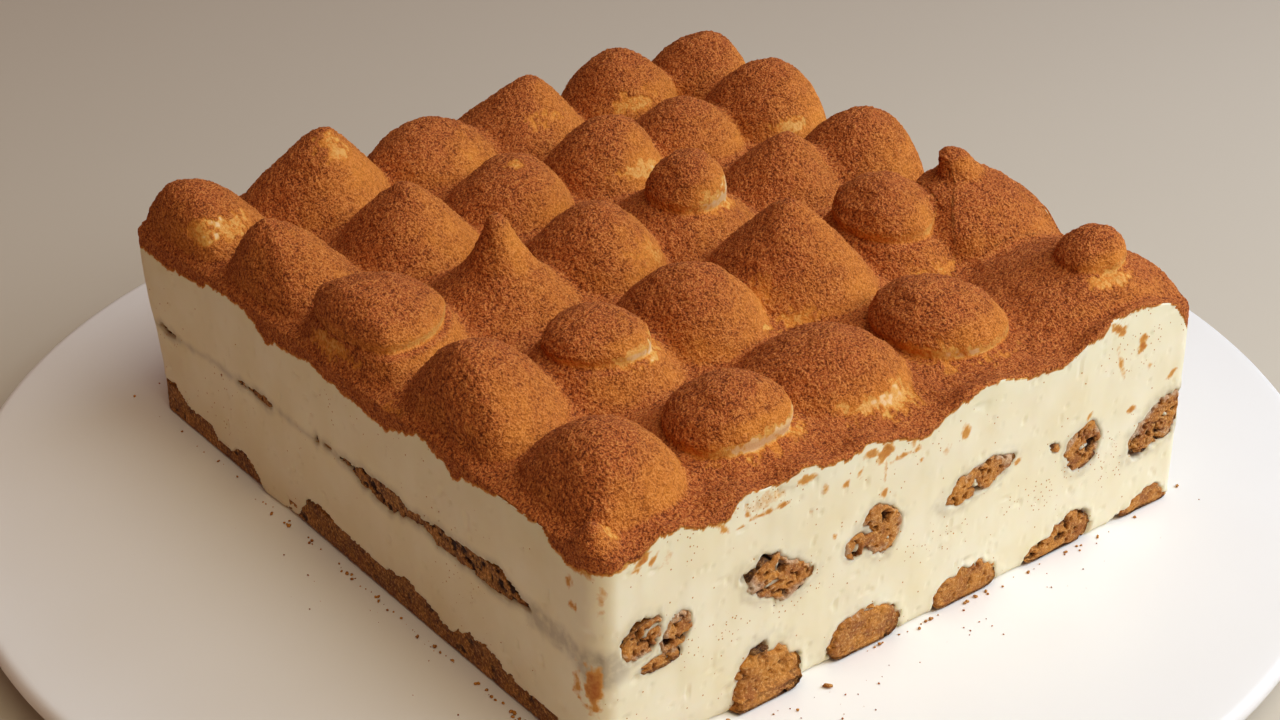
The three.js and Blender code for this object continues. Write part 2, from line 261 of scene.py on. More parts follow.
# Row by row from the front, and each row from the left: the middle of the foot, its radius, the
# tip's height, and how far the tip stands off the middle
moundRows = [
    [
        dome(15, 20, 18.5, 65.3, 0.5, -0.5),
        cap(48, 21, 17, 64, 1.5, -1, width=0.78, neck=0.2),
        dome(79, 26, 18.5, 62.2, 1, -1),
        cap(113, 25, 19, 63.7, -2, 2, width=0.79, neck=0.13),
        cap(151.5, 19, 25, 67.2, 2, -1.4, width=0.35, neck=0.57),
    ],
    [
        cone(12.5, 57, 19, 68.6, -1, 1, kind="hill"),
        cap(43.5, 57, 16.5, 66.3, -1, 0.8, width=0.7, neck=0.48),
        dome(70, 60, 17, 67.1, 0.5, -0.5),
        cone(102, 64, 20, 72.5, 0, 0),
        cap(135, 65, 17, 68, -2.5, 2, width=0.75, neck=0.39),
        cone(158, 58, 19.5, 72, -6.5, 5, kind="horn"),
    ],
    [
        cap(12, 97, 19, 66.3, -1, 0.5, width=0.85, neck=0.4),
        cone(46, 97, 17, 72.6, -0.5, 0.5, kind="spike"),
        dome(73, 99, 17, 66.3, 1, -1),
        cap(102, 102, 18, 71, 1.5, -1, width=0.56, neck=0.43),
        cone(137, 105, 16.5, 65.5, 0, 0),
        dome(160, 102.5, 17, 66.3, 1, 0),
    ],
    [
        cone(11, 133, 17.5, 68.4, -2.5, 2),
        cone(44, 133, 17, 68.2, 0, 0),
        dome(76.3, 138, 16.2, 63.5, 1.5, -1),
        dome(106, 139, 15.5, 66.3, 2, -1.5),
        dome(134, 142, 15.5, 63.1, 0.5, -0.5),
        dome(160, 139, 17, 68.3, 0.5, -0.5),
    ],
    [
        dome(9, 167.5, 16, 65.2, -1, 1),
        cone(41.5, 169, 18, 70.2, 1.5, -1),
        dome(75, 171, 17, 62.5, 0.5, -0.5),
        cone(103.5, 172.5, 18, 66.5, 3, -1),
        dome(136, 171.5, 16, 67, 0.5, 0),
        dome(161, 168, 16.5, 67.2, 1, -1),
    ],
]
mounds = [mound for row in moundRows for mound in row]


# A mound's outline as evenly spaced points from its tip down over its foot, with its corners
# softened: each point is the weighted mean of the outline around it.
def softProfile(mound):
    foot = moundLook["foot"]
    height = mound["top"] - foot
    radii = [0] + [across * mound["radius"] for across, _ in reversed(mound["outline"])]
    levels = [mound["top"]] + [foot + up * height for _, up in reversed(mound["outline"])]
    reach = moundLook["skirtReach"]
    radii.append(mound["radius"] + reach)
    levels.append(foot - reach * moundLook["skirtSlope"])
    radii, levels = np.array(radii), np.array(levels)
    walked = np.concatenate([[0], np.hypot(np.diff(radii), np.diff(levels)).cumsum()])
    step = moundLook["profileStep"]
    even = np.arange(0, walked[-1], step)
    radii, levels = np.interp(even, walked, radii), np.interp(even, walked, levels)
    window = np.hanning(2 * int(moundLook["profileSoftness"] / step) + 1)
    half = len(window) // 2
    radii = np.concatenate([-radii[half:0:-1], radii, np.repeat(radii[-1], half)])
    levels = np.concatenate([levels[half:0:-1], levels, np.repeat(levels[-1], half)])
    radii = np.convolve(radii, window / window.sum(), "valid")[:-half]
    levels = np.convolve(levels, window / window.sum(), "valid")[:-half]
    return even[:len(radii)], radii, levels


for index, mound in enumerate(mounds):
    mound["index"] = index
    mound["walked"], mound["radii"], mound["levels"] = softProfile(mound)
    mound["outward"] = np.maximum.accumulate(mound["radii"])


# A piped mound isn't quite round: its radius swells and shrinks two and three times a turn. On the
# front and the left it also slopes down faster, so that its foot ends at the cut face.
shownFaces = (planNormals < 1e-6).all(1)


def uneven(mound, angle):
    turn = mound["index"]
    swelling = 1 + 0.035 * np.sin(2 * angle + 1.3 * turn) + 0.025 * np.sin(3 * angle + 2.9 * turn)
    if min(mound["x"], mound["y"]) > 1.6 * mound["radius"]:
        return swelling, swelling
    facing = np.cos(angle[..., None] - planAngles[shownFaces])
    room = (planLimits - planNormals @ np.array([mound["x"], mound["y"]]))[shownFaces]
    toFace = np.where(facing > 0.01, room / np.maximum(facing, 0.01), 1e3).min(-1)
    squeeze = toFace / (moundLook["faceRoom"] * mound["radius"])
    soft = moundLook["squeezeSoftness"]
    return swelling, -soft * np.logaddexp(-swelling / soft, -squeeze / soft)


# How far out a place on the outline lies, for its radius there: swollen near the tip, and squeezed
# more and more towards the foot
def spread(mound, radius, swelling, squeezed):
    share = np.clip(radius / mound["radius"], 0, 1) ** moundLook["squeezePower"]
    return radius * (swelling + (squeezed - swelling) * share)


# The other way round, by Newton's method
def unspread(mound, distance, swelling, squeezed):
    radius = distance / swelling
    if squeezed is swelling:
        return radius
    power = moundLook["squeezePower"]
    for _ in range(6):
        share = np.clip(radius / mound["radius"], 0, 1) ** power
        steeper = np.where(radius < mound["radius"], 1 + power, 1)
        slope = swelling + (squeezed - swelling) * share * steeper
        miss = distance - radius * (swelling + (squeezed - swelling) * share)
        radius = np.maximum(radius + miss / np.maximum(slope, 0.15), 0)
    return radius


# The share of the lean that a height has
def leaning(mound, level):
    height = mound["top"] - moundLook["foot"]
    return np.clip((level - moundLook["foot"]) / height, 0, 1) ** moundLook["leanPower"]


# The height of one mound over points of the plan. The lean depends on the height, so both are
# found by going round three times.
def moundHeight(mound, x, y):
    level = np.full(x.shape, moundLook["foot"])
    for _ in range(3):
        share = leaning(mound, level)
        dx = x - mound["x"] - mound["lean"][0] * share
        dy = y - mound["y"] - mound["lean"][1] * share
        radius = unspread(mound, np.hypot(dx, dy), *uneven(mound, np.arctan2(dy, dx)))
        level = np.interp(radius, mound["outward"], mound["levels"])
    return level


# A soft maximum: the logarithm of the sum of exponentials, so that surfaces melt together
def melt(first, second):
    soft = moundLook["softness"]
    return soft * np.logaddexp(first / soft, second / soft)


# The height of all the cream over points of the plan, without the mound own
def creamHeight(x, y, own=None):
    height = np.full(x.shape, bed["level"])
    for swellX, swellY, swellHeight, radius in bed["swells"]:
        height += swellHeight * np.exp(-((x - swellX) ** 2 + (y - swellY) ** 2) / radius**2)
    for mound in mounds:
        if mound is not own:
            reach = mound["radius"] + moundLook["meltReach"]
            near = (np.abs(x - mound["x"]) < reach) & (np.abs(y - mound["y"]) < reach)
            height[near] = melt(height[near], moundHeight(mound, x[near], y[near]))
    return height


# How much lower the surface is near a cut face: a quarter circle, worn unevenly
def wornEdge(points, room):
    radius = moundLook["edgeRadius"] * (1 + 0.35 * noise(points, 5, 21))
    inside = np.clip(radius - room, 0, radius)
    return radius - np.sqrt(np.maximum(radius**2 - inside**2, 0))


# How far a cut face is pulled in from true: a slow wobble and the drag of the knife
def cutWobble(points):
    slow = 0.35 * noise(points, 19, 31) + 0.14 * noise(points, 6, 32)
    drag = 0.035 * noise(points, (2.2, 2.2, 14), 33)
    return 0.3 + slow + drag


# The relief of the cocoa: soft dents and lumps, and the clots and grains, in whose pits the colour paints
# shade
def cocoaLumps(points):
    return moundLook["dents"] * noise(points, 9.5, 40) + moundLook["lumps"] * noise(points, 3.4, 41)


def cocoaGrain(points):
    clots = noise(points, (0.85, 0.7, 0.6), 42)
    return moundLook["clots"] * clots + moundLook["grains"] * noise(points, 0.45, 43)


# Cream that the cocoa missed: the middle of each patch, its half sizes and how bare it is
barePatches = [
    # x, y, z, half length, half width, half height, turn in degrees, bareness
    (6.4, 4.4, 52.6, 1.5, 2.4, 2.2, 0, 0.9),
    (40, 11.5, 54, 8, 3, 1.6, -25, 0.6),
    (49, 9, 54, 7, 3, 2.1, 0, 0.85),
    (57.5, 12, 54, 5, 3, 2.6, 45, 0.95),
    (76, 9, 52.6, 6, 3, 2.0, 0, 0.9),
    (85, 8, 51.8, 6, 3.4, 2.8, 20, 0.95),
    (99.5, 19, 53, 3, 3, 1.7, -60, 0.6),
    (103.5, 12.5, 53.6, 7, 3, 2.2, -30, 0.85),
    (114, 9, 53, 7, 3, 1.8, 0, 0.75),
    (149.5, 9.5, 58.6, 6, 3, 1.3, 0, 0.95),
    (1, 73, 47.5, 5, 3, 2.0, 90, 0.6),
    (46.5, 46, 59, 6, 3, 1.9, 10, 0.75),
    (53, 49, 58.6, 4.4, 3, 2.4, 50, 0.9),
    (92, 48, 52, 7, 3, 1.8, 0, 0.85),
    (135, 48.5, 51, 8, 3, 1.5, 0, 0.8),
    (88, 57, 56, 3.6, 3, 3.4, 0, 0.6),
    (152.7, 63, 67.5, 1.6, 2, 2.4, 0, 0.75),
    (1.5, 98, 53.6, 8, 3, 2.0, 90, 0.85),
    (80, 86, 57, 5, 4, 3.2, 0, 0.6),
    (103.5, 91.5, 61, 4, 3, 2.6, 0, 0.75),
    (109, 94, 60.5, 3, 3, 3.2, 40, 0.95),
    (76.5, 135, 63, 1.8, 1.8, 1.5, 0, 0.95),
    (108, 125.5, 56, 6, 3, 2.0, 0, 0.8),
    (155.5, 124, 55.5, 6, 3, 1.6, 0, 0.8),
    (3.5, 158, 57.6, 5, 4, 2.2, 30, 0.85),
    (10, 156.5, 57.4, 5, 3.4, 2.2, 0, 0.9),
    (42.5, 163, 66, 3, 3.4, 3.4, 0, 0.9),
    (131, 159, 56.8, 6, 3, 2.0, 0, 0.8),
    (78, 163, 55.5, 5, 3, 1.8, 0, 0.6),
    (106, 163.5, 57.5, 5, 3, 2.0, 0, 0.75),
    (46, 128, 56, 3, 3, 3, 0, 0.4),
]


# How thick the cocoa lies on the mounds, from 0 to 1. It was sieved from the left, so slopes that
# face right have a thin orange film, and overhanging walls are all but bare. The split also paints
# light and shade: slopes facing right, towards the light, get the lighter orange film, and those
# facing left the darker red-brown.
dusting = {
    "sieveAndShadeSide": (-0.34, 0.36, 0.87),
    # facing the sieve means facing away from the light, so the darker thick cocoa there is partly painted
    # shade
    "facing": [-0.7, -0.42, -0.1, 0.1, 0.8],  # how much a slope faces the sieve
    "cover": [0.08, 0.19, 0.3, 0.43, 1.0],
    "least": 0.06,
}


def dustCoverAndShade(points, normals):
    sieveAndShadeSide = np.array(dusting["sieveAndShadeSide"])
    # partly painted light: the cover, and so the colour, follows how far a slope faces away from the light
    # on the right
    facing = normals @ (sieveAndShadeSide / np.linalg.norm(sieveAndShadeSide))
    drifts = 0.15 * noise(points, 9, 50) + 0.13 * noise(points, 3.1, 51) + 0.08 * noise(points, 1.2, 52)
    cover = np.interp(facing + drifts, dusting["facing"], dusting["cover"])
    for x, y, z, length, width, height, turn, bareness in barePatches:
        away = points - np.array([x, y, z])
        c, s = math.cos(math.radians(turn)), math.sin(math.radians(turn))
        along = (away[..., 0] * c + away[..., 1] * s) / length
        across = (away[..., 1] * c - away[..., 0] * s) / width
        up = away[..., 2] / height
        near = np.sqrt(along**2 + across**2 + up**2)
        near = near + 0.45 * noise(points, 2.2, 53) + 0.6 * noise(points, 0.9, 54)
        bare = 0.8 * bareness + 0.12 * noise(points, 0.7, 55)
        cover = cover * (1 - bare * rise(1.4 - near, 0, 0.6))
    return np.maximum(cover, dusting["least"])


# The points of a square grid laid over a disc: squares around the middle become circles. Gives the
# share of the way out and the direction.
def squareToDisc(count):
    line = np.linspace(-1, 1, count)
    a, b = np.meshgrid(line, line)
    wide = np.abs(a) >= np.abs(b)
    steep = np.where(wide, b / np.where(a == 0, 1, a), a / np.where(b == 0, 1, b))
    turned = np.where(wide, steep * np.pi / 4, np.pi / 2 - steep * np.pi / 4)
    behind = np.where(wide, a, b) < 0
    return np.maximum(np.abs(a), np.abs(b)), turned + np.pi * behind


# The edges of one mound's ground: the cake's faces, and the line to each neighbour that the
# wider mound pushes away from it
def groundEdges(mound):
    normals = [planNormals]
    limits = [planLimits - 0.05]
    centre = np.array([mound["x"], mound["y"]])
    for other in mounds:
        away = np.array([other["x"], other["y"]]) - centre
        distance = np.hypot(*away)
        if 0 < distance < moundLook["neighbourReach"]:
            normal = away / distance
            share = (distance**2 + mound["radius"] ** 2 - other["radius"] ** 2) / (2 * distance)
            normals.append(normal[None])
            limits.append([centre @ normal + share + moundLook["overlap"]])
    return np.concatenate(normals), np.concatenate(limits)


# One mound: its outline carried round its leaning axis as far as the edges of its ground, melted
# into its neighbours, worn at the cut faces, and roughened by the cocoa along its normals
def moundSurface(mound):
    out, angle = squareToDisc(moundLook["gridSize"])
    direction = np.stack([np.cos(angle), np.sin(angle)], -1)
    stretch = uneven(mound, angle)
    normals, limits = groundEdges(mound)
    centre = np.array([mound["x"], mound["y"]])
    lean = np.array(mound["lean"])
    towards = np.maximum(direction @ normals.T, 1e-6)
    share = np.zeros(angle.shape)
    for _ in range(5):
        room = limits - centre @ normals.T - share[..., None] * (lean @ normals.T)
        reach = unspread(mound, (room / towards).min(-1), *stretch)
        share = leaning(mound, np.interp(reach, mound["outward"], mound["levels"]))
    walked = out * np.interp(reach, mound["outward"], mound["walked"])
    radius = spread(mound, np.interp(walked, mound["walked"], mound["radii"]), *stretch)
    level = np.interp(walked, mound["walked"], mound["levels"])
    share = leaning(mound, level)
    x = mound["x"] + radius * direction[..., 0] + lean[0] * share
    y = mound["y"] + radius * direction[..., 1] + lean[1] * share
    level = melt(level, creamHeight(x, y, own=mound))
    return np.stack([x, y, level], -1)


# The cake's top hangs over a little at the back left corner: points near it move out, the more
# the higher they are
flare = {"out": 1.7, "reach": 26.0, "from": 12.0, "full": 44.0}


def flared(points):
    near = np.hypot(points[..., 0], points[..., 1] - cake["depth"]) / flare["reach"]
    share = flare["out"] * np.exp(-(near**2)) * rise(points[..., 2], flare["from"], flare["full"])
    return points + share[..., None] * np.array([-1, 1, 0])


# A mound's surface worn at the cut faces, with its relief, and how thick the cocoa lies on it,
# which also carries painted shade on slopes that face away from the light
def finishSurface(points):
    room, outward = insideFaces(points[..., 0], points[..., 1])
    cover = dustCoverAndShade(points, gridNormals(points))
    drawn, faced = cocoaEdge(points, outward)
    above = points[..., 2] - drawn + moundLook["edgeDip"] * room
    cover = cover * (1 - faced * (1 - rise(above, -moundLook["edgeBlur"], moundLook["edgeBlur"])))
    points[..., 2] -= wornEdge(points, room)
    fade = 1 - rise(room, 0, moundLook["wobbleReach"])
    points[..., :2] -= outward * (cutWobble(points) * fade)[..., None]
    points = flared(points)
    normals = gridNormals(points)
    grain = cocoaGrain(points)
    relief = cocoaLumps(points) * rise(room, 0, moundLook["lumpsFrom"])
    relief = relief + grain * rise(cover, 0, moundLook["fullGrain"])
    points = points + normals * relief[..., None]
    return points, cover, grain


# A mound as a closed piece: its surface, a short wall under the rim and a flat base
def makeMound(node, mound, material):
    size = moundLook["gridSize"]
    points, cover, grain = finishSurface(moundSurface(mound))
    index = np.arange(size * size).reshape(size, size)
    ring = np.concatenate([index[0, :-1], index[:-1, -1], index[-1, :0:-1], index[:0:-1, 0]])
    top = points.reshape(-1, 3)
    middle = np.array([mound["x"], mound["y"], moundLook["baseHeight"]])
    wall = top[ring].copy()
    pulled = middle[:2] - wall[:, :2]
    wall[:, :2] += pulled * (moundLook["wallInset"] / np.linalg.norm(pulled, axis=1, keepdims=True))
    wall[:, 2] = moundLook["baseHeight"]
    below = size * size + np.arange(len(ring))
    nextRing, nextBelow = np.roll(ring, -1), np.roll(below, -1)
    quads = np.concatenate([gridQuads(size, size), np.stack([below, nextBelow, nextRing, ring], -1)])
    last = np.full(len(ring), size * size + len(ring))
    triangles = np.stack([last, nextBelow, below], -1)
    plain = np.zeros(len(ring) + 1)
    values = {
        "dustAndShade": np.concatenate([cover.ravel(), plain]),
        "grain": np.concatenate([grain.ravel(), plain]),
    }
    allPoints = np.concatenate([top, wall, middle[None]])
    makePiece("whipped_" + node, allPoints, quads, triangles, values, material, [node])


# A hex colour as it is seen on a screen, as the linear colour that light is reckoned in
def linear(hexColour, alpha=1.0):
    parts = [int(hexColour[i:i + 2], 16) / 255 for i in (1, 3, 5)]
    return tuple(p / 12.92 if p <= 0.04045 else ((p + 0.055) / 1.055) ** 2.4 for p in parts) + (alpha,)


# Adds a node, sets its properties and inputs, and links the inputs that are given as nodes or
# sockets. A node stands for its first output that is in use. Inputs 0, 6 and 7 of a colour mix are
# its share and its two colours.
def addNode(tree, kind, inputs=None, **settings):
    node = tree.nodes.new(kind)
    for key, value in settings.items():
        setattr(node, key, value)
    for key, value in (inputs or {}).items():
        if isinstance(value, bpy.types.Node):
            value = next(output for output in value.outputs if output.enabled)
        if isinstance(value, bpy.types.NodeSocket):
            tree.links.new(value, node.inputs[key])
        else:
            node.inputs[key].default_value = value
    return node


# A new material, its node tree and the place of each point on the piece
def startMaterial(name):
    material = bpy.data.materials.new(name)
    material.use_nodes = True
    tree = material.node_tree
    tree.nodes.clear()
    return material, tree, addNode(tree, "ShaderNodeTexCoord").outputs["Object"]


def finishMaterial(material, inputs):
    tree = material.node_tree
    shader = addNode(tree, "ShaderNodeBsdfPrincipled", inputs)
    addNode(tree, "ShaderNodeOutputMaterial", {"Surface": shader})
    return material


# Whipped mascarpone cream under sieved cocoa powder. The cream is ivory, soft and a little
# translucent. The cocoa is dull and granular, with painted shade darkening its pits and painted
# highlights on its grains, and thins out to an orange stain where the damp cream soaks it up.
creamLook = {
    "ivory": "#f5ebc9",
    "butter": "#efe2b8",
    "cocoa": "#b9602a",  # cocoa that lies thick
    "cocoaFilm": "#ce7d2c",  # a thin film of it on damp cream
    # painted shade in the pits between the grains, and a painted highlight on their tops
    "cocoaPitShade": "#6a3012",
    "cocoaCrestHighlight": "#e3934a",
    "soakedCocoa": "#dba04a",
    "smear": "#b5651c",
    "coffee": "#8a7763",
    "speck": "#c68f45",
    "roughness": 0.55,
    "gloss": 0.25,
    "milkyDepth": 0.0022,  # how far light travels in it, in metres
    "grainSize": 0.5,  # millimetres
}


def creamAndCocoa(name):
    material, tree, place = startMaterial(name)
    look = creamLook
    dustAndShade, grain, smear, soak, speckled = (
        addNode(tree, "ShaderNodeAttribute", attribute_name=key).outputs["Fac"]
        for key in ("dustAndShade", "grain", "smear", "soak", "speckled")
    )

    # the cream: two shades in patches about 14 mm across
    shades = addNode(tree, "ShaderNodeTexNoise", {"Vector": place, "Scale": 1 / (14 * mm), "Detail": 3})
    share = addNode(tree, "ShaderNodeMapRange", {"Value": shades, "From Min": 0.35, "From Max": 0.7})
    colours = {0: share, 6: linear(look["ivory"]), 7: linear(look["butter"])}
    cream = addNode(tree, "ShaderNodeMix", colours, data_type="RGBA")

    # coffee that seeps into it near the sponge
    seeping = addNode(tree, "ShaderNodeTexNoise", {"Vector": place, "Scale": 1 / (2.5 * mm), "Detail": 4})
    seeped = addNode(tree, "ShaderNodeMapRange", {"Value": seeping, "From Min": 0.1, "From Max": 0.55})
    seeped = addNode(tree, "ShaderNodeMath", {0: seeped, 1: soak}, operation="MULTIPLY")

    # cocoa that the knife dragged over the cut, as a grainy orange stain
    streaks = addNode(tree, "ShaderNodeTexNoise", {"Vector": place, "Scale": 1 / (0.9 * mm), "Detail": 3})
    streaks = addNode(tree, "ShaderNodeMath", {0: smear, 1: 1.5, 2: streaks}, operation="MULTIPLY_ADD")
    stain = addNode(tree, "ShaderNodeMapRange", {"Value": streaks, "From Min": 0.75, "From Max": 1.45})
    smeared = addNode(tree, "ShaderNodeMapRange", {"Value": streaks, "From Min": 1.3, "From Max": 2.2})

    # specks of cocoa, 0.4 mm across, that lie on the cut cream: the share speckled of cells 0.8 mm
    # wide holds one
    spots = addNode(tree, "ShaderNodeTexVoronoi", {"Vector": place, "Scale": 1 / (0.8 * mm)})
    chance = addNode(tree, "ShaderNodeSeparateColor", {"Color": spots.outputs["Color"]})
    held = addNode(tree, "ShaderNodeMath", {0: chance, 1: speckled}, operation="LESS_THAN")
    speck = addNode(tree, "ShaderNodeMath", {0: spots, 1: 0.25}, operation="LESS_THAN")
    speck = addNode(tree, "ShaderNodeMath", {0: speck, 1: held}, operation="MULTIPLY")

    layers = ((seeped, "coffee"), (stain, "soakedCocoa"), (smeared, "smear"), (speck, "speck"))
    for share, shade in layers:
        colours = {0: share, 6: cream, 7: linear(look[shade])}
        cream = addNode(tree, "ShaderNodeMix", colours, data_type="RGBA")

    # the powder: orange as a film and red-brown where it is thick, a split that also paints light on
    # slopes facing right and shade on those facing left; a painted highlight on its grains and
    # painted shade between them
    fineScale = 1 / (look["grainSize"] * mm)
    texture = {"Vector": place, "Scale": fineScale, "Detail": 1.5, "Roughness": 0.6}
    fine = addNode(tree, "ShaderNodeTexNoise", texture)
    height = addNode(tree, "ShaderNodeMath", {0: fine, 1: 0.5}, operation="SUBTRACT")
    height = addNode(tree, "ShaderNodeMath", {0: height, 1: 2.6}, operation="MULTIPLY")
    height = addNode(tree, "ShaderNodeMath", {0: grain, 1: 1.1, 2: height}, operation="MULTIPLY_ADD")
    # partly painted light and shade: slopes facing right get the lighter film, those facing left the darker
    # thick cocoa
    share = addNode(tree, "ShaderNodeMapRange", {"Value": dustAndShade, "From Min": 0.3, "From Max": 0.85})
    colours = {0: share, 6: linear(look["cocoaFilm"]), 7: linear(look["cocoa"])}
    powder = addNode(tree, "ShaderNodeMix", colours, data_type="RGBA")
    # painted highlight: the tops of the grains are lighter, as where light falls on them
    crestHighlight = {"Value": height, "From Min": -0.02, "From Max": 0.5, "To Max": 0.65}
    share = addNode(tree, "ShaderNodeMapRange", crestHighlight)
    colours = {0: share, 6: powder, 7: linear(look["cocoaCrestHighlight"])}
    powder = addNode(tree, "ShaderNodeMix", colours, data_type="RGBA")
    # painted shade: the pits between the grains are darker, the more so where the cocoa lies thick
    pitShade = addNode(tree, "ShaderNodeMapRange", {"Value": height, "From Min": 0.0, "From Max": -0.5})
    depth = {"Value": dustAndShade, "From Min": 0.25, "From Max": 0.75, "To Min": 0.25, "To Max": 0.9}
    depth = addNode(tree, "ShaderNodeMapRange", depth)
    share = addNode(tree, "ShaderNodeMath", {0: pitShade, 1: depth}, operation="MULTIPLY")
    colours = {0: share, 6: powder, 7: linear(look["cocoaPitShade"])}
    powder = addNode(tree, "ShaderNodeMix", colours, data_type="RGBA")

    # where the cover is thinnest it breaks up into grains over stained cream
    gaps = addNode(tree, "ShaderNodeTexNoise", {"Vector": place, "Scale": 1 / (0.6 * mm), "Detail": 3})
    gaps = addNode(tree, "ShaderNodeMath", {0: dustAndShade, 1: 2.2, 2: gaps}, operation="MULTIPLY_ADD")
    covered = addNode(tree, "ShaderNodeMapRange", {"Value": gaps, "From Min": 0.75, "From Max": 1.05})
    share = addNode(tree, "ShaderNodeMapRange", {"Value": dustAndShade, "From Max": 0.09})
    colours = {0: share, 6: cream, 7: linear(look["soakedCocoa"])}
    stained = addNode(tree, "ShaderNodeMix", colours, data_type="RGBA")
    colour = addNode(tree, "ShaderNodeMix", {0: covered, 6: stained, 7: powder}, data_type="RGBA")

    thick = addNode(tree, "ShaderNodeMapRange", {"Value": dustAndShade, "From Max": 0.7})
    relief = addNode(tree, "ShaderNodeMath", {0: fine, 1: thick}, operation="MULTIPLY")
    bump = addNode(tree, "ShaderNodeBump", {"Height": relief, "Strength": 1.0, "Distance": 0.9 * mm})
    rough = {"Value": covered, "To Min": look["roughness"], "To Max": 1.0}
    milky = {"Value": covered, "To Min": 0.3, "To Max": 0.0}
    return finishMaterial(
        material,
        {
            "Base Color": colour,
            "Normal": bump,
            "Roughness": addNode(tree, "ShaderNodeMapRange", rough),
            "Subsurface Weight": addNode(tree, "ShaderNodeMapRange", milky),
            "Subsurface Radius": (1.0, 0.75, 0.45),
            "Subsurface Scale": look["milkyDepth"],
            "Specular IOR Level": look["gloss"],
        },
    )


# Savoiardi: baked sponge fingers soaked in coffee. The cut crumb is open and toffee brown, with
# painted shade darkening its pores and a darker, wetter crust.
spongeLook = {
    "crumb": "#d38a30",
    "wet": "#a35d1b",
    "poreShade": "#341605",
    "pale": "#e9b66c",
    "cream": "#d8c4a6",
    "roughness": 0.6,
}


def soakedSponge():
    material, tree, place = startMaterial("savoiardi sponge, soaked in coffee")
    look = spongeLook
    crumb, film = (
        addNode(tree, "ShaderNodeAttribute", attribute_name=key).outputs["Fac"]
        for key in ("crumb", "film")
    )
    damp = addNode(tree, "ShaderNodeTexNoise", {"Vector": place, "Scale": 1 / (4 * mm), "Detail": 3})
    share = addNode(tree, "ShaderNodeMapRange", {"Value": damp, "From Min": 0.38, "From Max": 0.68})
    colours = {0: share, 6: linear(look["crumb"]), 7: linear(look["wet"])}
    colour = addNode(tree, "ShaderNodeMix", colours, data_type="RGBA")
    texture = {"Vector": place, "Scale": 1 / (0.7 * mm), "Detail": 4, "Roughness": 0.75}
    fine = addNode(tree, "ShaderNodeTexNoise", texture)
    share = {"Value": fine, "From Min": 0.52, "From Max": 0.64, "To Max": 0.7}
    share = addNode(tree, "ShaderNodeMapRange", share)
    colours = {0: share, 6: colour, 7: linear(look["pale"])}
    colour = addNode(tree, "ShaderNodeMix", colours, data_type="RGBA")
    # painted shade: the crumb turns dark where its pores and dents lie deep
    depth = addNode(tree, "ShaderNodeMath", {0: fine, 1: 3.4, 2: crumb}, operation="MULTIPLY_ADD")
    poreShade = addNode(tree, "ShaderNodeMapRange", {"Value": depth, "From Min": 1.5, "From Max": 0.3})
    colours = {0: poreShade, 6: colour, 7: linear(look["poreShade"])}
    colour = addNode(tree, "ShaderNodeMix", colours, data_type="RGBA")

    # cream that the knife wiped over the crumb, thin and broken
    wiped = addNode(tree, "ShaderNodeMath", {0: film, 1: fine}, operation="ADD")
    share = {"Value": wiped, "From Min": 0.85, "From Max": 1.3, "To Max": 0.75}
    share = addNode(tree, "ShaderNodeMapRange", share)
    colours = {0: share, 6: colour, 7: linear(look["cream"])}
    colour = addNode(tree, "ShaderNodeMix", colours, data_type="RGBA")
    bump = addNode(tree, "ShaderNodeBump", {"Height": fine, "Strength": 0.9, "Distance": 0.6 * mm})
    return finishMaterial(
        material,
        {
            "Base Color": colour,
            "Normal": bump,
            "Roughness": look["roughness"],
            "Specular IOR Level": 0.35,
        },
    )


# Hard porcelain, glazed and fired: white, very smooth, with a soft shine
porcelainLook = {"white": "#f6f2ea", "shade": "#f1ece2", "roughness": 0.32}


def glazedPorcelain():
    material, tree, place = startMaterial("glazed white porcelain")
    look = porcelainLook
    shades = addNode(tree, "ShaderNodeTexNoise", {"Vector": place, "Scale": 1 / (60 * mm)})
    colours = {0: shades, 6: linear(look["white"]), 7: linear(look["shade"])}
    colour = addNode(tree, "ShaderNodeMix", colours, data_type="RGBA")
    ripple = addNode(tree, "ShaderNodeTexNoise", {"Vector": place, "Scale": 1 / (25 * mm), "Detail": 1})
    bump = addNode(tree, "ShaderNodeBump", {"Height": ripple, "Strength": 0.08, "Distance": 0.3 * mm})
    inputs = {"Base Color": colour, "Normal": bump, "Roughness": look["roughness"], "IOR": 1.5}
    return finishMaterial(material, inputs)


# A table top painted a pale warm grey, matt
tableLook = {"paint": "#cec2ac", "shade": "#c9bda8", "roughness": 0.6}


def paintedTable():
    material, tree, place = startMaterial("painted table top")
    look = tableLook
    shades = addNode(tree, "ShaderNodeTexNoise", {"Vector": place, "Scale": 1 / (300 * mm)})
    colours = {0: shades, 6: linear(look["paint"]), 7: linear(look["shade"])}
    colour = addNode(tree, "ShaderNodeMix", colours, data_type="RGBA")
    return finishMaterial(material, {"Base Color": colour, "Roughness": look["roughness"]})


plateLook = {
    "around": 288,
    "footRadius": 110.0,
    "footWidth": 4.0,
    "footSlope": 2.0,  # how far each side of the foot slopes out
    "footHeight": 2.0,
    "hollow": 0.6,  # how high the underside lies inside the foot
    "hollowFrom": 40.0,  # the radius of the innermost ring there
    "rimThickness": 5.0,
    "rimSteps": 14,
    "topRings": 24,
    "topInset": 3.0,  # the first of them, in from the rim
    "topTo": 20.0,  # the radius of the last
}


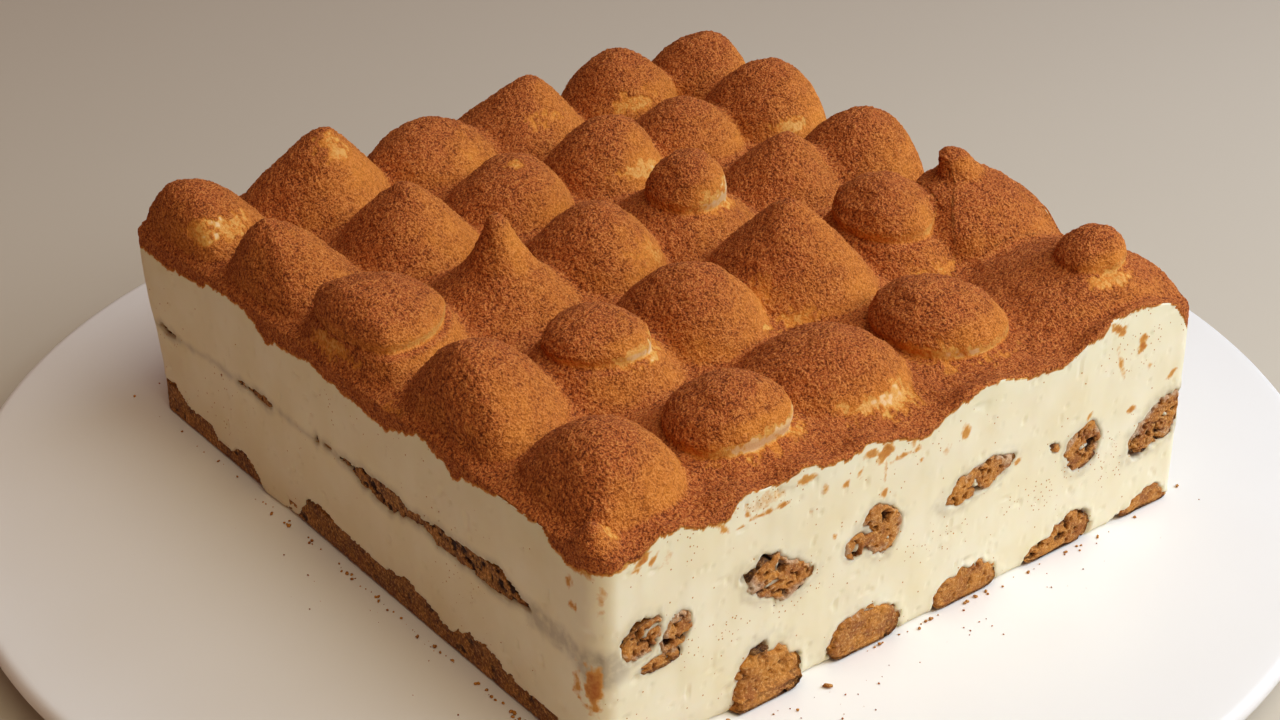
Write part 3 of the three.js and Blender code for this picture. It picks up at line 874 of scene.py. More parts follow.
# A profile turned about the plate's axis. Heights count from the plate's underside.
def makePlate(material):
    radius = (plateHigh[0] - plateLow[0]) / 2
    height = plateHigh[2] - plateLow[2]
    half = plateLook["rimThickness"] / 2
    bend = np.pi * (np.arange(plateLook["rimSteps"] + 1) / plateLook["rimSteps"] - 0.5)
    foot, slope, hollow = plateLook["footRadius"], plateLook["footSlope"], plateLook["hollow"]
    inside = foot - plateLook["footWidth"]
    under = np.array(
        [
            [plateLook["hollowFrom"], hollow],
            [inside - slope, hollow],
            [inside, 0],
            [foot, 0],
            [foot + slope, plateLook["footHeight"]],
        ]
    )
    rim = np.stack([radius - half + half * np.cos(bend), height - half + half * np.sin(bend)], -1)
    rings = np.linspace(radius - half - plateLook["topInset"], plateLook["topTo"], plateLook["topRings"])
    top = np.stack([rings, np.full(len(rings), height)], -1)
    profile = np.concatenate([under, rim, top])
    turn = 2 * np.pi * np.arange(plateLook["around"]) / plateLook["around"]
    grid = np.stack(
        [
            profile[:, :1] * np.cos(turn) + plateCentre[0],
            profile[:, :1] * np.sin(turn) + plateCentre[1],
            profile[:, 1:] - height + 0 * turn,
        ],
        -1,
    )
    rows, columns = grid.shape[:2]
    quads = gridQuads(rows, columns, closed=True)
    triangles = endTriangles(rows, columns)
    ends = np.array([[*plateCentre[:2], hollow - height], [*plateCentre[:2], 0]])
    points = np.concatenate([grid.reshape(-1, 3), ends])
    makePiece("plate_glazed", points, quads, triangles, {}, material, ["plate"])


creamCut = {
    "fineStep": 0.56,  # spacing of points on the front and left faces
    "coarseStep": 1.1,
    "rows": 94,
    "bottom": 0.3,
    "topLift": 0.1,
    "recess": 4.2,  # how deep the openings over the sponge are
    "lip": 0.22,  # how far the cream stands out round an opening
    "smallPits": 0.35,  # how deep they are
    "largePits": 0.3,
    "grain": 0.8,  # how much of the cocoa's grain shows at the top edge
    "tuck": 0.5,  # how far the foot is drawn in
    "tuckHeight": 0.9,
    "soaked": 0.5,  # how grey the coffee makes the cream
    "ledges": [(0.5, 0.15), (1.1, 0.6)],  # the top edge turns inwards: how far in, how far down
    "backMiddle": (26, 8.5, 4.6),  # openings in the back face: their level and half sizes
    "backLower": (1.5, 8.8, 6.4),
}

# Where sponge shows on the front face: the middle of the opening, its half sizes and its tilt in
# degrees. Two that meet make one ragged opening.
frontOpenings = [
    (10.3, 28.8, 5.2, 4.2, 25),
    (19.2, 26.4, 3.2, 4.6, -30),
    (15.2, 20.9, 5.0, 1.5, 3),
    (45.2, 28.0, 8.9, 4.8, -25),
    (73.4, 28.2, 5.8, 5.6, 0),
    (67.0, 26.8, 3.2, 2.8, 20),
    (101.8, 29.4, 9.9, 3.6, 12),
    (135.0, 25.4, 5.4, 5.2, -30),
    (125.4, 28.7, 1.8, 0.8, -40),
    (161.0, 23.0, 9.8, 5.6, 24),
    (155.0, 18.0, 3.6, 2.8, 0),
    (11.0, 0.4, 7.5, 1.5, 0),
    (42.4, 2.0, 8.7, 9.6, 0),
    (70.6, 2.0, 9.6, 6.9, 0),
    (65.5, 4.4, 4.4, 4.2, 0),
    (99.8, 1.2, 9.2, 6.2, 0),
    (94.6, 3.2, 4.2, 3.8, 0),
    (132.4, 1.8, 7.4, 6.4, 0),
    (123.4, 1.4, 5.0, 3.6, 0),
    (159.2, 0.8, 6.6, 4.3, 0),
    (150.4, 0.2, 4.2, 1.7, 0),
]


# The rounded outline of the plan walked anticlockwise from the middle of the front left corner:
# points and outward normals, spaced finely on the front and the left and coarsely elsewhere
def planWalk():
    radius, width, depth = cake["cornerRadius"], cake["width"], cake["depth"]
    near, farX, farY = radius, width - radius, depth - radius
    centres = [(farX, near), (farX, farY), (near, farY), (near, near)]
    straight = [width - 2 * radius, depth - 2 * radius, width - 2 * radius, depth - 2 * radius]
    steps = [creamCut["fineStep"], creamCut["coarseStep"], creamCut["coarseStep"], creamCut["fineStep"]]
    places, normals = [], []
    for side in range(4):
        facing = np.pi / 2 * (side - 1)
        normal = np.array([math.cos(facing), math.sin(facing)])
        along = np.array([-normal[1], normal[0]])
        count = int(straight[side] / steps[side])
        start = np.array(centres[side - 1]) + radius * normal
        places.append(start + along * (np.arange(count) / count * straight[side])[:, None])
        normals.append(np.repeat(normal[None], count, 0))
        bends = int(np.pi / 2 * radius / steps[side]) + 2
        bend = facing + np.pi / 2 * np.arange(bends) / bends
        corner = np.stack([np.cos(bend), np.sin(bend)], -1)
        places.append(np.array(centres[side]) + radius * corner)
        normals.append(corner)
    return np.concatenate(places), np.concatenate(normals)


# How far a point is from the middle of a tilted ellipse, in half sizes: 1 on its edge
def ellipse(along, up, opening):
    middle, level, halfWidth, halfHeight, tilt = opening[:5]
    c, s = math.cos(math.radians(tilt)), math.sin(math.radians(tilt))
    across, rest = along - middle, up - level
    return np.hypot((across * c + rest * s) / halfWidth, (rest * c - across * s) / halfHeight)


# The opening's edge is ragged: noise is added to the distance from the middle
def ragged(points, strength=1.0):
    return strength * (0.15 * noise(points, 2.6, 61) + 0.11 * noise(points, 1.0, 62))


# How far a point of the front face is from the nearest opening's middle, 1 on its edge, and the
# share of cream that bridges the openings there
def frontDistanceAt(x, z):
    face = np.stack([x, 0 * x, z], -1)
    distance = np.min([ellipse(x, z, opening) for opening in frontOpenings], 0) + ragged(face)
    bridges = rise(noise(face, (2.8, 1, 1.5), 76), 0.6, 0.75) * rise(z, 12, 15)
    return distance, bridges


# Marks on the cut faces: the middle of each, its half length and half width, its tilt in degrees
# and its strength. Along the face they count as x on the front and y on the left.
frontSmears = [
    (10.7, 46.6, 2.4, 0.8, 30, 1.0),
    (5.9, 46.8, 1.8, 0.7, 10, 0.8),
    (16.5, 44.6, 2.4, 1.6, 45, 0.35),
    (12.9, 45.6, 1.6, 0.8, 40, 0.9),
    (8.6, 45.0, 1.5, 0.6, 0, 0.8),
    (1.2, 41.5, 1.4, 1.8, 0, 0.6),
    (1.0, 37.5, 1.2, 1.2, 0, 0.5),
    (37.0, 46.2, 1.7, 0.7, -40, 0.8),
    (40.6, 44.8, 3.2, 0.6, 0, 0.95),
    (45.6, 45.2, 1.8, 0.7, 12, 0.9),
    (42.7, 47.7, 8.0, 2.0, 0, 0.4),
    (53.6, 40.2, 0.9, 1.3, 0, 0.5),
    (60.3, 31.6, 0.9, 0.8, 0, 0.7),
    (62.9, 43.6, 1.8, 1.0, 40, 0.8),
    (73.6, 47.0, 2.8, 1.9, 40, 0.95),
    (30.5, 45.9, 2.2, 0.9, -50, 0.7),
    (35.0, 43.9, 1.6, 0.6, 0, 0.8),
    (52.0, 48.6, 2.6, 1.0, 0, 0.8),
    (57.0, 44.6, 0.9, 1.2, 0, 0.6),
    (66.6, 44.6, 1.5, 0.9, 30, 0.75),
    (69.5, 48.0, 2.4, 1.1, 0, 0.85),
    (82.5, 44.2, 1.4, 0.9, 20, 0.7),
    (79.0, 44.2, 3.0, 0.8, 10, 0.75),
    (81.5, 46.6, 1.1, 1.7, 0, 0.6),
    (84.3, 41.2, 0.8, 0.8, 0, 0.8),
    (73.8, 36.8, 1.3, 1.0, 20, 1.0),
    (73.9, 41.8, 0.5, 4.5, 0, 0.5),
    (91.4, 40.8, 1.2, 1.5, -40, 0.4),
    (97.2, 43.6, 1.4, 2.4, 0, 0.8),
    (114.2, 29.3, 1.2, 0.9, 0, 0.8),
    (135.6, 32.9, 1.3, 0.7, 20, 0.8),
    (143.4, 52.0, 3.0, 1.5, -35, 1.0),
    (144.9, 43.0, 0.9, 3.8, 20, 0.7),
    (149.8, 29.6, 1.6, 1.0, 0, 1.0),
    (151.5, 45.8, 1.5, 2.5, -25, 1.0),
    (154.5, 39.4, 1.4, 1.2, 0, 0.55),
    (163.2, 34.6, 2.4, 0.8, 25, 0.8),
]
leftSmears = [
    (9.8, 41.2, 1.2, 1.7, 0, 0.9),
    (8.0, 36.2, 1.6, 1.1, 0, 0.85),
    (3.0, 19.5, 2.2, 5.5, 0, 1.0),
    (7.5, 19.0, 1.6, 4.5, 0, 0.7),
    (6.5, 46.5, 5.0, 1.8, 0, 0.9),
]
frontSpecks = [
    (20.4, 44.9, 5.0, 5.0, 0, 0.5),
    (22.9, 20.4, 3.0, 5.0, 0, 0.5),
    (33.4, 21.4, 4.5, 4.0, 0, 0.55),
    (54.9, 22.2, 6.0, 4.0, 0, 0.45),
    (88.9, 18.9, 11.0, 4.0, 0, 0.5),
    (120.8, 18.3, 9.0, 4.0, 0, 0.7),
    (143.6, 18.2, 7.0, 5.0, 0, 0.65),
    (150.0, 47.0, 9.0, 7.0, 0, 0.4),
    (42.7, 47.7, 9.0, 3.0, 0, 0.6),
    (80.0, 44.0, 8.0, 5.0, 0, 0.35),
]
leftSpecks = [
    (30.0, 16.0, 22.0, 6.0, 0, 0.22),
    (120.0, 40.0, 30.0, 5.0, 0, 0.08),
]


# The strongest mark at each point of a face, soft and ragged towards its edge
def marks(place, points, table, edge=1.2):
    strength = np.zeros(place.shape)
    wander = 0.4 * noise(points, 1.6, 77) + 0.4 * noise(points, 0.8, 78)
    for mark in table:
        inside = rise(1.4 - ellipse(place, points[..., 2], mark) - wander, 0, edge)
        strength = np.maximum(strength, mark[5] * inside)
    return strength


# The sponge that shows on a side face: the top of the band along its bottom, and the middle and
# half thickness of the line half way up, at places along the face
bandTop = [
    (-4, 5.3), (15, 5.3), (27, 5.6), (33, 5.8), (40, 8.2), (47, 7.5), (54, 4.7), (61, 7.2), (70, 9),
    (79, 7), (92, 7.6), (100, 8.5), (106, 9.8), (112, 8.7), (115, 4.2), (117, 0.6), (131, 0.2),
    (134, 3.1), (137, 5.9), (143, 6.9), (147, 3.8), (155, 3.3), (158, 6.7), (168, 6.5), (176, 9.2),
    (190, 9.4),
]
streakMiddle = [
    (8, 25.6), (21, 26.7), (33, 28), (48, 27.1), (64, 27), (78, 26.4), (100, 27.6), (190, 24.8),
]
streakHalf = [
    (12, -0.4), (19, -0.1), (24, 0.6), (28, 1.6), (31, 2.9), (33, 3.6), (36, 3), (48, 2.4), (57, 2),
    (63, 0.9), (68, 1), (71, 2.4), (78, 2.8), (86, 2.2), (91, 0.9), (95, 0.7), (98, -0.3), (101, 0.4),
    (103, -0.4), (105, 1.1), (107, -0.6), (122, -0.6), (125, 0.7), (133, 0.9), (137, -0.1), (140, 0.8),
    (143, -0.6), (166, -0.7), (171, 0.7), (177, 0.9), (180, -0.6), (190, -0.6),
]


# The heights down to which cocoa covers the front and the left face
frontEdge = [
    (0, 46.6), (5, 47), (10, 47.4), (12, 48.9), (15, 50.5), (19, 50.8), (24, 48.5), (30, 46.8),
    (32.6, 47.6), (35, 50.4), (38, 51.1), (46, 50.7), (52, 52), (57, 50.4), (63, 49.7), (68, 50.8),
    (73, 49.5), (79, 48.1), (85, 46), (93, 50.2), (106, 52.9), (119, 49), (128, 49.8), (132, 52),
    (138, 53), (141, 56.2), (145, 55.2), (150, 55.8), (154, 54.9), (159, 53.9), (162.4, 52.2),
    (164, 49.3), (167.6, 44.8), (170, 44),
]
leftEdge = [
    (0, 46.6), (5, 46.2), (8.3, 45.8), (11.6, 45.4), (13.5, 46.7), (16, 47.8), (18, 49.7), (23, 49.5),
    (31, 49.8), (36, 48.6), (40, 47.5), (49, 45.6), (56, 47.5), (63, 48.8), (69, 46.5), (74, 44.2),
    (83, 44.6), (93, 45.6), (108, 46.9), (117, 45.5), (125, 43.8), (131, 46.5), (138, 48.6),
    (151, 47.1), (167, 44.9), (186, 46.5),
]


# The value of such a table at places between its own
def along(table, y):
    places, values = np.array(table).T
    return np.interp(y, places, values)


# The shares of the front and of the left in the way that a face looks
def facingShares(outward):
    return rise(-outward[..., 1], 0.5, 0.8), rise(-outward[..., 0], 0.5, 0.8)


# The height of the cocoa's ragged edge at points by a cut face, and the share of the front and the
# left in the way that the face looks
def cocoaEdge(points, outward):
    front, left = facingShares(outward)
    drawn = front * along(frontEdge, points[..., 0]) + left * along(leftEdge, points[..., 1])
    flat = points * np.array([1, 1, 0])
    fringe = 0.4 * noise(flat, 3.5, 73) + 0.4 * noise(flat, 1.7, 74) + 0.3 * noise(flat, 0.8, 75)
    return drawn / np.maximum(front + left, 0.01) - fringe, np.minimum(front + left, 1)


# How far points of a side face lie inside the sponge along its bottom, and in the line half way up
def sideBand(points):
    y, z = points[..., 1], points[..., 2]
    flat = np.stack([0 * y, y, 0 * y], -1)
    return along(bandTop, y) + 0.5 * noise(flat, 2.2, 63) + 0.35 * noise(flat, 0.9, 64) - z


def sideStreak(points):
    y, z = points[..., 1], points[..., 2]
    flat = np.stack([0 * y, y, 0 * y], -1)
    thickness = along(streakHalf, y) + 0.35 * noise(flat, 2.2, 68)
    return thickness - np.abs(z - along(streakMiddle, y) - 0.3 * noise(flat, 3, 66))


# The cut faces of the cream: a sheet hung from the edge of the mounds to the plate, all round the
# cake. It is pulled in by the wobble of the cut and, deeply, where sponge shows.
def makeCream(material):
    places, outward = planWalk()
    columns, rows = len(places), creamCut["rows"]
    edge = np.concatenate([places, np.full((columns, 1), moundLook["foot"])], 1)
    topEdge = creamHeight(places[:, 0], places[:, 1]) - wornEdge(edge, 0.05) + creamCut["topLift"]
    share = np.linspace(0, 1, rows)[:, None]
    level = creamCut["bottom"] + share * (topEdge - creamCut["bottom"])
    base = np.concatenate([np.broadcast_to(places, (rows, columns, 2)), level[..., None]], -1)
    x, y, z = base[..., 0], base[..., 1], base[..., 2]
    front, left = facingShares(outward)
    back, right = facingShares(-outward)

    rough = ragged(base)
    frontDistance, bridges = frontDistanceAt(x, z)
    backOpenings = [(spec["x"], *creamCut["backMiddle"], spec["tilt"]) for spec in middleFingers]
    backOpenings += [(spec["x"], *creamCut["backLower"], 0) for spec in lowerFingers]
    backDistance = np.min([ellipse(x, z, opening) for opening in backOpenings], 0) + rough
    side = base.copy()
    side[..., 1] = np.where(right > 0, cake["depth"] - y, y)  # the right face mirrors the left
    band = sideBand(side) - 14 * right * rise(14 - y, 0, 8)
    sideDepth = np.maximum(band, sideStreak(side)) + 1.6 * rough
    opened = np.max(
        [
            front * rise(1.06 - frontDistance, 0, 0.25) * (1 - bridges),
            back * rise(1.06 - backDistance, 0, 0.12),
            (left + right) * rise(sideDepth, 0, 0.5),
        ],
        0,
    )
    soak = np.max(
        [
            front * rise(1.6 - frontDistance, 0, 0.8) * rise(z, 8, 14),
            back * rise(1.75 - backDistance, 0, 0.8),
            (left + right) * rise(sideStreak(side), -2.6, 0.4),
            left * rise(1.4 - ellipse(y, z, (16, 26, 13, 3.2, 4)) - rough, 0, 0.9),
            (left + front) * rise(9 - np.hypot(np.maximum(x, y) - 2, 1.5 * (z - 24)), 0, 5),
        ],
        0,
    )
    lip = creamCut["lip"] * np.exp(-(((frontDistance - 1.16) / 0.1) ** 2)) * front
    pits = creamCut["smallPits"] * rise(noise(base, 1.4, 71), 0.72, 0.95)
    pits = pits + creamCut["largePits"] * rise(noise(base, 3.2, 72), 0.78, 0.98)
    depth = cutWobble(base) + creamCut["recess"] * opened + pits - lip

    drawn, faced = cocoaEdge(base, outward[None] + 0 * base[..., :2])
    drawn = faced * drawn + (1 - faced) * (topEdge - 0.6)
    cover = rise(z - drawn + 0.2 * noise(base, 0.9, 79), -0.5, 0.5)
    grain = cocoaGrain(base)
    depth = depth - creamCut["grain"] * grain * cover
    foot = rise(creamCut["bottom"] + creamCut["tuckHeight"] - z, 0, creamCut["tuckHeight"])
    depth = depth + creamCut["tuck"] * foot

    grid = base.copy()
    grid[..., :2] -= outward * depth[..., None]
    grid = flared(grid)
    ledges = []
    for inset, drop in creamCut["ledges"]:
        ledge = grid[-1].copy()
        ledge[:, :2] -= outward * inset
        ledge[:, 2] -= drop
        ledges.append(ledge)
    floorRing = ledges[-1].copy()
    floorRing[:, 2] = cake["creamTop"]
    grid = np.concatenate([grid, *(ledge[None] for ledge in ledges), floorRing[None]])
    middle = np.array([cake["width"] / 2, cake["depth"] / 2])
    ends = np.array([[*middle, creamCut["bottom"]], [*middle, cake["creamTop"]]])

    # three more rows and two middles have no cocoa, smears or coffee on them
    def padded(value):
        return np.concatenate([value.ravel(), np.zeros(3 * columns + 2)])

    smear = front * marks(x, base, frontSmears) + left * marks(y, base, leftSmears)
    specks = 0.03 + front * marks(x, base, frontSpecks, 1.3) + left * marks(y, base, leftSpecks, 1.3)
    values = {
        "dustAndShade": padded(cover),
        "grain": padded(grain),
        "soak": padded(soak * creamCut["soaked"]),
        "smear": padded(smear),
        "speckled": padded(specks),
    }
    points = np.concatenate([grid.reshape(-1, 3), ends])
    quads = gridQuads(len(grid), columns, closed=True)
    triangles = endTriangles(len(grid), columns)
    nodes = ["cream_lower", "cream_upper"]
    makePiece("cut_cream", points, quads, triangles, values, material, nodes)


spongeShape = {
    "setBack": 0.75,  # how far its cut ends and sides lie behind the cream's faces
    "grow": 0.5,
    "shoulder": 0.4,
    "underside": 0.95,
    "settledBy": 0.25,  # the share of the cake's depth in which it comes to lie on its own line
    "wander": 0.6,
    "capRings": 34,
    "backRings": 14,
    "grid": (150, 16),  # points round a finger and along it
    "shownGrids": {1: (150, 330), 6: (130, 200)},  # of those whose long sides show
    "poreDepth": 1.9,
    "relief": (-2.6, 0.35),  # its lowest and highest
    "sideRelief": 0.35,  # the share of it on the long sides
    "rounding": 0.7,  # how far the rim of an end is rounded
    "sideWetness": 0.7,
    # the groove is a line of painted shade in the colour, not a cut in the shape
    "lipTop": 4.2,  # the height of the crust that stands out under some ends, and of its groove
    "lipGrooveShade": 3.9,
}

# Where each finger's front end shows, the line that it settles on, its width and height, how far
# its end stands out of the cut face, and how open its crumb is
lowerFingers = [
    {"frontX": 9.5, "x": 9.5, "width": 22, "height": 9.5, "bulge": 0, "open": 0.3},
    {"frontX": 41, "x": 39.5, "width": 20, "height": 12, "bulge": 0.8, "open": 0.35, "lip": 1.4},
    {"frontX": 69.5, "x": 69.5, "width": 19.5, "height": 10, "bulge": 0.7, "open": 0.25},
    {"frontX": 99.5, "x": 99.5, "width": 19.5, "height": 9.5, "bulge": 0.5, "open": 0.25},
    {"frontX": 128.5, "x": 129.5, "width": 21, "height": 9.5, "bulge": 0.1, "open": 0.8},
    {"frontX": 160, "x": 160.5, "width": 22, "height": 9, "bulge": 0.1, "open": 0.4},
]
# A finger in the middle row also has the height of its middle, and leans by tilt at the front
middleFingers = [
    {"frontX": 15, "x": 9.6, "frontZ": 26, "z": 26.5, "width": 20.5, "height": 12, "tilt": 4},
    {"frontX": 45.5, "x": 40, "frontZ": 27.5, "z": 26.5, "width": 18, "height": 12.5, "tilt": 8},
    {"frontX": 71.5, "x": 70, "frontZ": 28, "z": 26.5, "width": 17, "height": 12.5, "tilt": 10},
    {"frontX": 102, "x": 100, "frontZ": 29, "z": 26.5, "width": 21, "height": 9.5, "tilt": 16},
    {"frontX": 132.5, "x": 130, "frontZ": 26, "z": 26.5, "width": 18, "height": 12, "tilt": 12},
    {"frontX": 160, "x": 160.4, "frontZ": 23.5, "z": 26, "width": 19.5, "height": 12.5, "tilt": 20},
]


# A finger: an oval or loaf-shaped section carried from back to front, with each end closed by
# rings that shrink to its middle. The last finger on each side is sliced by the cake's side face.
def makeFinger(node, spec, index, material):
    look = spongeShape
    around, stations = look["shownGrids"].get(index, look["grid"])
    setBack = look["setBack"]
    turn = 2 * np.pi * np.arange(around) / around
    back, front = cake["depth"] - setBack, setBack
    walk = np.linspace(back, front, stations)
    shrink = np.concatenate(
        [
            np.linspace(0, 1, look["backRings"] + 1)[1:-1],
            np.ones(stations),
            np.linspace(1, 0, look["capRings"] + 1)[1:-1],
        ]
    )
    y = np.concatenate([np.full(look["backRings"] - 1, back), walk, np.full(look["capRings"] - 1, front)])
    settled = rise(y, 0, cake["depth"] * look["settledBy"])
    wander = look["wander"] * settled * np.sin(y / 19 + 1.7 * index)
    middleX = spec["frontX"] + (spec["x"] - spec["frontX"]) * settled + wander
    half = spec["width"] / 2 + look["grow"]
    if "z" in spec:
        tilt = np.radians(spec["tilt"]) * (1 - settled)
        across = half * np.cos(turn)
        up = (spec["height"] / 2 + look["grow"]) * np.sin(turn)
        sectionX = across * np.cos(tilt)[:, None] - up * np.sin(tilt)[:, None]
        sectionZ = across * np.sin(tilt)[:, None] + up * np.cos(tilt)[:, None]
        middleZ = spec["frontZ"] + (spec["z"] - spec["frontZ"]) * settled
    else:
        shoulder = spec["height"] * look["shoulder"]
        lower = np.sin(turn) < 0
        upright = np.abs(np.cos(turn)) ** 0.25 * np.sign(np.cos(turn))
        sectionX = np.where(lower, half * upright * look["underside"], half * np.cos(turn)) + 0 * y[:, None]
        tall = spec["height"] - shoulder + look["grow"]
        deep = shoulder - 0.35
        sectionZ = np.where(lower, deep * np.sin(turn), tall * np.sin(turn)) + 0 * y[:, None]
        middleZ = np.full(len(y), shoulder)
    gridX = middleX[:, None] + sectionX * shrink[:, None]
    gridZ = middleZ[:, None] + sectionZ * shrink[:, None]
    grid = np.stack([gridX, y[:, None] + 0 * gridX, gridZ], -1)
    room, outward = insideFaces(grid[..., 0], grid[..., 1])
    grid[..., :2] -= outward * np.maximum(setBack - room, 0)[..., None]

    # the crumb: dents and pores pushed in along the way each face looks
    opened = spec.get("open", 1)
    crumb = 0.5 * noise(grid, 2.3, 81) + 0.35 * noise(grid, 1.0, 82) + 0.25 * noise(grid, 0.5, 83)
    pores = rise(noise(grid, 1.9, 84), 0.35, 0.62) + 0.6 * rise(noise(grid, 0.95, 85), 0.35, 0.65)
    relief = (0.25 + 0.2 * opened) * crumb - look["poreDepth"] * pores * opened
    relief = np.clip(relief, *look["relief"])
    normals = gridNormals(grid, closed=True)
    ends = (shrink < 1)[:, None]
    endways = np.where(np.arange(len(y)) < look["backRings"], 1.0, -1.0)
    normals[..., 0] = np.where(ends, 0, normals[..., 0])
    normals[..., 2] = np.where(ends, 0, normals[..., 2])
    normals[..., 1] = np.where(ends, endways[:, None], normals[..., 1])
    rounding = np.where(ends, rise(shrink[:, None], 0.86, 1) * -look["rounding"], 0)
    distance, bridges = frontDistanceAt(grid[..., 0], grid[..., 2])
    shown = rise(1.12 - distance, 0, 0.16) * (1 - bridges) * rise(6 - grid[..., 1], 0, 5)
    shape = relief * np.where(ends, 1, look["sideRelief"]) + rounding
    grid = grid + normals * shape[..., None]
    lip = rise(look["lipTop"] - grid[..., 2], 0, 1.2) * shown if "lip" in spec else 0 * shown
    # painted shade: a dark line along the top of the crust's lip, in the colour only, where a groove would
    # lie in shadow
    grooveShade = np.exp(-(((grid[..., 2] - look["lipGrooveShade"]) / 0.3) ** 2))
    relief = relief - 0.18 * lip - 0.25 * grooveShade * (lip > 0)
    grid[..., 1] -= shown * (setBack + spec.get("bulge", 0)) + lip * spec.get("lip", 0)
    grid[..., 2] = np.maximum(grid[..., 2], 0.05)
    film = 0.45 * noise(grid, (3.4, 3.4, 2.2), 86) + 0.5 * rise(distance, 0.5, 1.1)
    film = np.where("z" in spec, film, film - 0.45) * ends
    relief = relief - np.where(ends, 0, look["sideWetness"])  # wetter, and so darker

    rows = len(y)
    tips = np.array([grid[0].mean(0), grid[-1].mean(0)])
    points = np.concatenate([grid.reshape(-1, 3), tips])
    quads = gridQuads(rows, around, closed=True)
    triangles = endTriangles(rows, around)
    values = {
        "crumb": np.concatenate([relief.ravel(), relief[0, :1], relief[-1, :1]]),
        "film": np.concatenate([film.ravel(), film[0, :1], film[-1, :1]]),
    }
    makePiece("soaked_" + node, points, quads, triangles, values, material, [node])


# Crumbs of sponge by the cake's foot, and grains of cocoa that fell on the plate
crumbLook = {
    "seed": 11,
    "rings": 5,
    "sides": 8,
    "clearance": 1.3,  # from the cake's faces
    "sponge": [
        # x, y, spread in x, spread in y, count, half size of the largest
        (25, -3.4, 3.5, 0.9, 34, 0.75),
        (8, -1.8, 7, 0.8, 34, 0.6),
        (54.5, -5.5, 0.8, 0.5, 2, 0.9),
        (40, -7, 9, 1.5, 6, 0.4),
        (110, -1.8, 32, 0.9, 34, 0.5),
        (-2, 95, 0.8, 55, 60, 0.5),
        (-2, 15, 0.9, 12, 26, 0.6),
        (85, 187, 50, 1, 30, 0.5),
        (172, 92, 1, 55, 34, 0.5),
    ],
    "cocoa": [
        (55, -11, 32, 5, 22, 0.3),
        (120, -8, 28, 4, 16, 0.25),
        (-9, 70, 5, 36, 18, 0.25),
        (85, 194, 50, 5, 12, 0.25),
        (179, 90, 5, 50, 12, 0.25),
    ],
}


# Lumpy pebbles on the plate, drawn at random round the middle of each drift and kept off the cake.
# The sum of two even draws puts most of them near the middle and none beyond twice the spread.
def makeCrumbs(name, kind, material, values):
    draw = np.random.default_rng(crumbLook["seed"])
    drifts = np.array([drift[:4] for drift in crumbLook[kind]], float)
    counts = [drift[4] for drift in crumbLook[kind]]
    largest = np.repeat([drift[5] for drift in crumbLook[kind]], counts)
    drift = np.repeat(drifts, counts, 0)
    total = len(drift)
    scatter = draw.uniform(-1, 1, (total, 2)) + draw.uniform(-1, 1, (total, 2))
    spots = drift[:, :2] + drift[:, 2:] * scatter
    sizes = largest * draw.uniform(0.35, 1, total) ** 1.5
    room, outward = insideFaces(spots[:, 0], spots[:, 1])
    spots += outward * np.maximum(room + crumbLook["clearance"] + sizes, 0)[:, None]

    rings, sides = crumbLook["rings"], crumbLook["sides"]
    climb = np.pi * (np.arange(1, rings + 1) / (rings + 1))[:, None]
    turn = 2 * np.pi * np.arange(sides) / sides
    ball = [np.sin(climb) * np.cos(turn), np.sin(climb) * np.sin(turn), -np.cos(climb) + 0 * turn]
    pebble = np.concatenate([np.stack(ball, -1).reshape(-1, 3), [[0, 0, -1], [0, 0, 1]]])
    stretch = draw.uniform([0.8, 0.6, 0.45], [1.3, 1, 0.8], (total, 3))
    places = pebble * stretch[:, None] * sizes[:, None, None]
    places = places * (1 + 0.4 * noise(pebble + 10 * np.arange(total)[:, None, None], 0.8, 91))[..., None]
    heading = draw.uniform(0, 2 * np.pi, total)[:, None]
    x = places[..., 0] * np.cos(heading) - places[..., 1] * np.sin(heading) + spots[:, :1]
    y = places[..., 0] * np.sin(heading) + places[..., 1] * np.cos(heading) + spots[:, 1:]
    z = places[..., 2] - places[..., 2].min(1, keepdims=True) + 0.01

    starts = np.arange(total)[:, None, None] * len(pebble)
    quads = (gridQuads(rings, sides, closed=True) + starts).reshape(-1, 4)
    triangles = (endTriangles(rings, sides) + starts).reshape(-1, 3)
    points = np.stack([x, y, z], -1).reshape(-1, 3)
    filled = {key: np.full(len(points), value) for key, value in values.items()}
    makePiece(name, points, quads, triangles, filled, material)


# The table: how far it reaches each way, and the gap that keeps it off the plate's foot, in metres
tableTop = {"reach": 6.0, "gap": 0.0002}


def makeFloor(material):
    mesh = bpy.data.meshes.new("table_top")
    reach, level = tableTop["reach"], float(plateLow[2]) * mm - tableTop["gap"]
    corners = [(x * reach, y * reach, level) for x, y in ((-1, -1), (1, -1), (1, 1), (-1, 1))]
    mesh.from_pydata(corners, [], [(0, 1, 2, 3)])
    mesh.materials.append(material)
    floor = bpy.data.objects.new("table_top", mesh)
    bpy.context.scene.collection.objects.link(floor)


# Each lamp: the way to it from the cake, its distance and width in metres, its power and colour
lamps = {
    "overhead": ((0.0, -0.7, 1.0), 1.2, 1.2, 6.66, "#fff5d9"),
    "window": ((0.6, -0.5, 1.0), 1.2, 1.2, 7.12, "#d9e6ff"),
    "key": ((0.80, -0.62, 0.62), 0.8, 0.4, 3.53, "#c6dfff"),
}


# A round lamp that looks at the cake from one direction
def makeLamp(name):
    direction, distance, width, power, colour = lamps[name]
    lamp = bpy.data.lights.new(name, "AREA")
    lamp.shape = "DISK"
    lamp.size = width
    lamp.energy = power
    lamp.color = linear(colour)[:3]
    body = bpy.data.objects.new(name, lamp)
    direction = np.array(direction) / np.linalg.norm(direction)
    body.location = direction * distance
    turned = (math.acos(direction[2]), 0, math.atan2(direction[1], direction[0]) + math.pi / 2)
    body.rotation_euler = Euler(turned, "XYZ")
    bpy.context.scene.collection.objects.link(body)


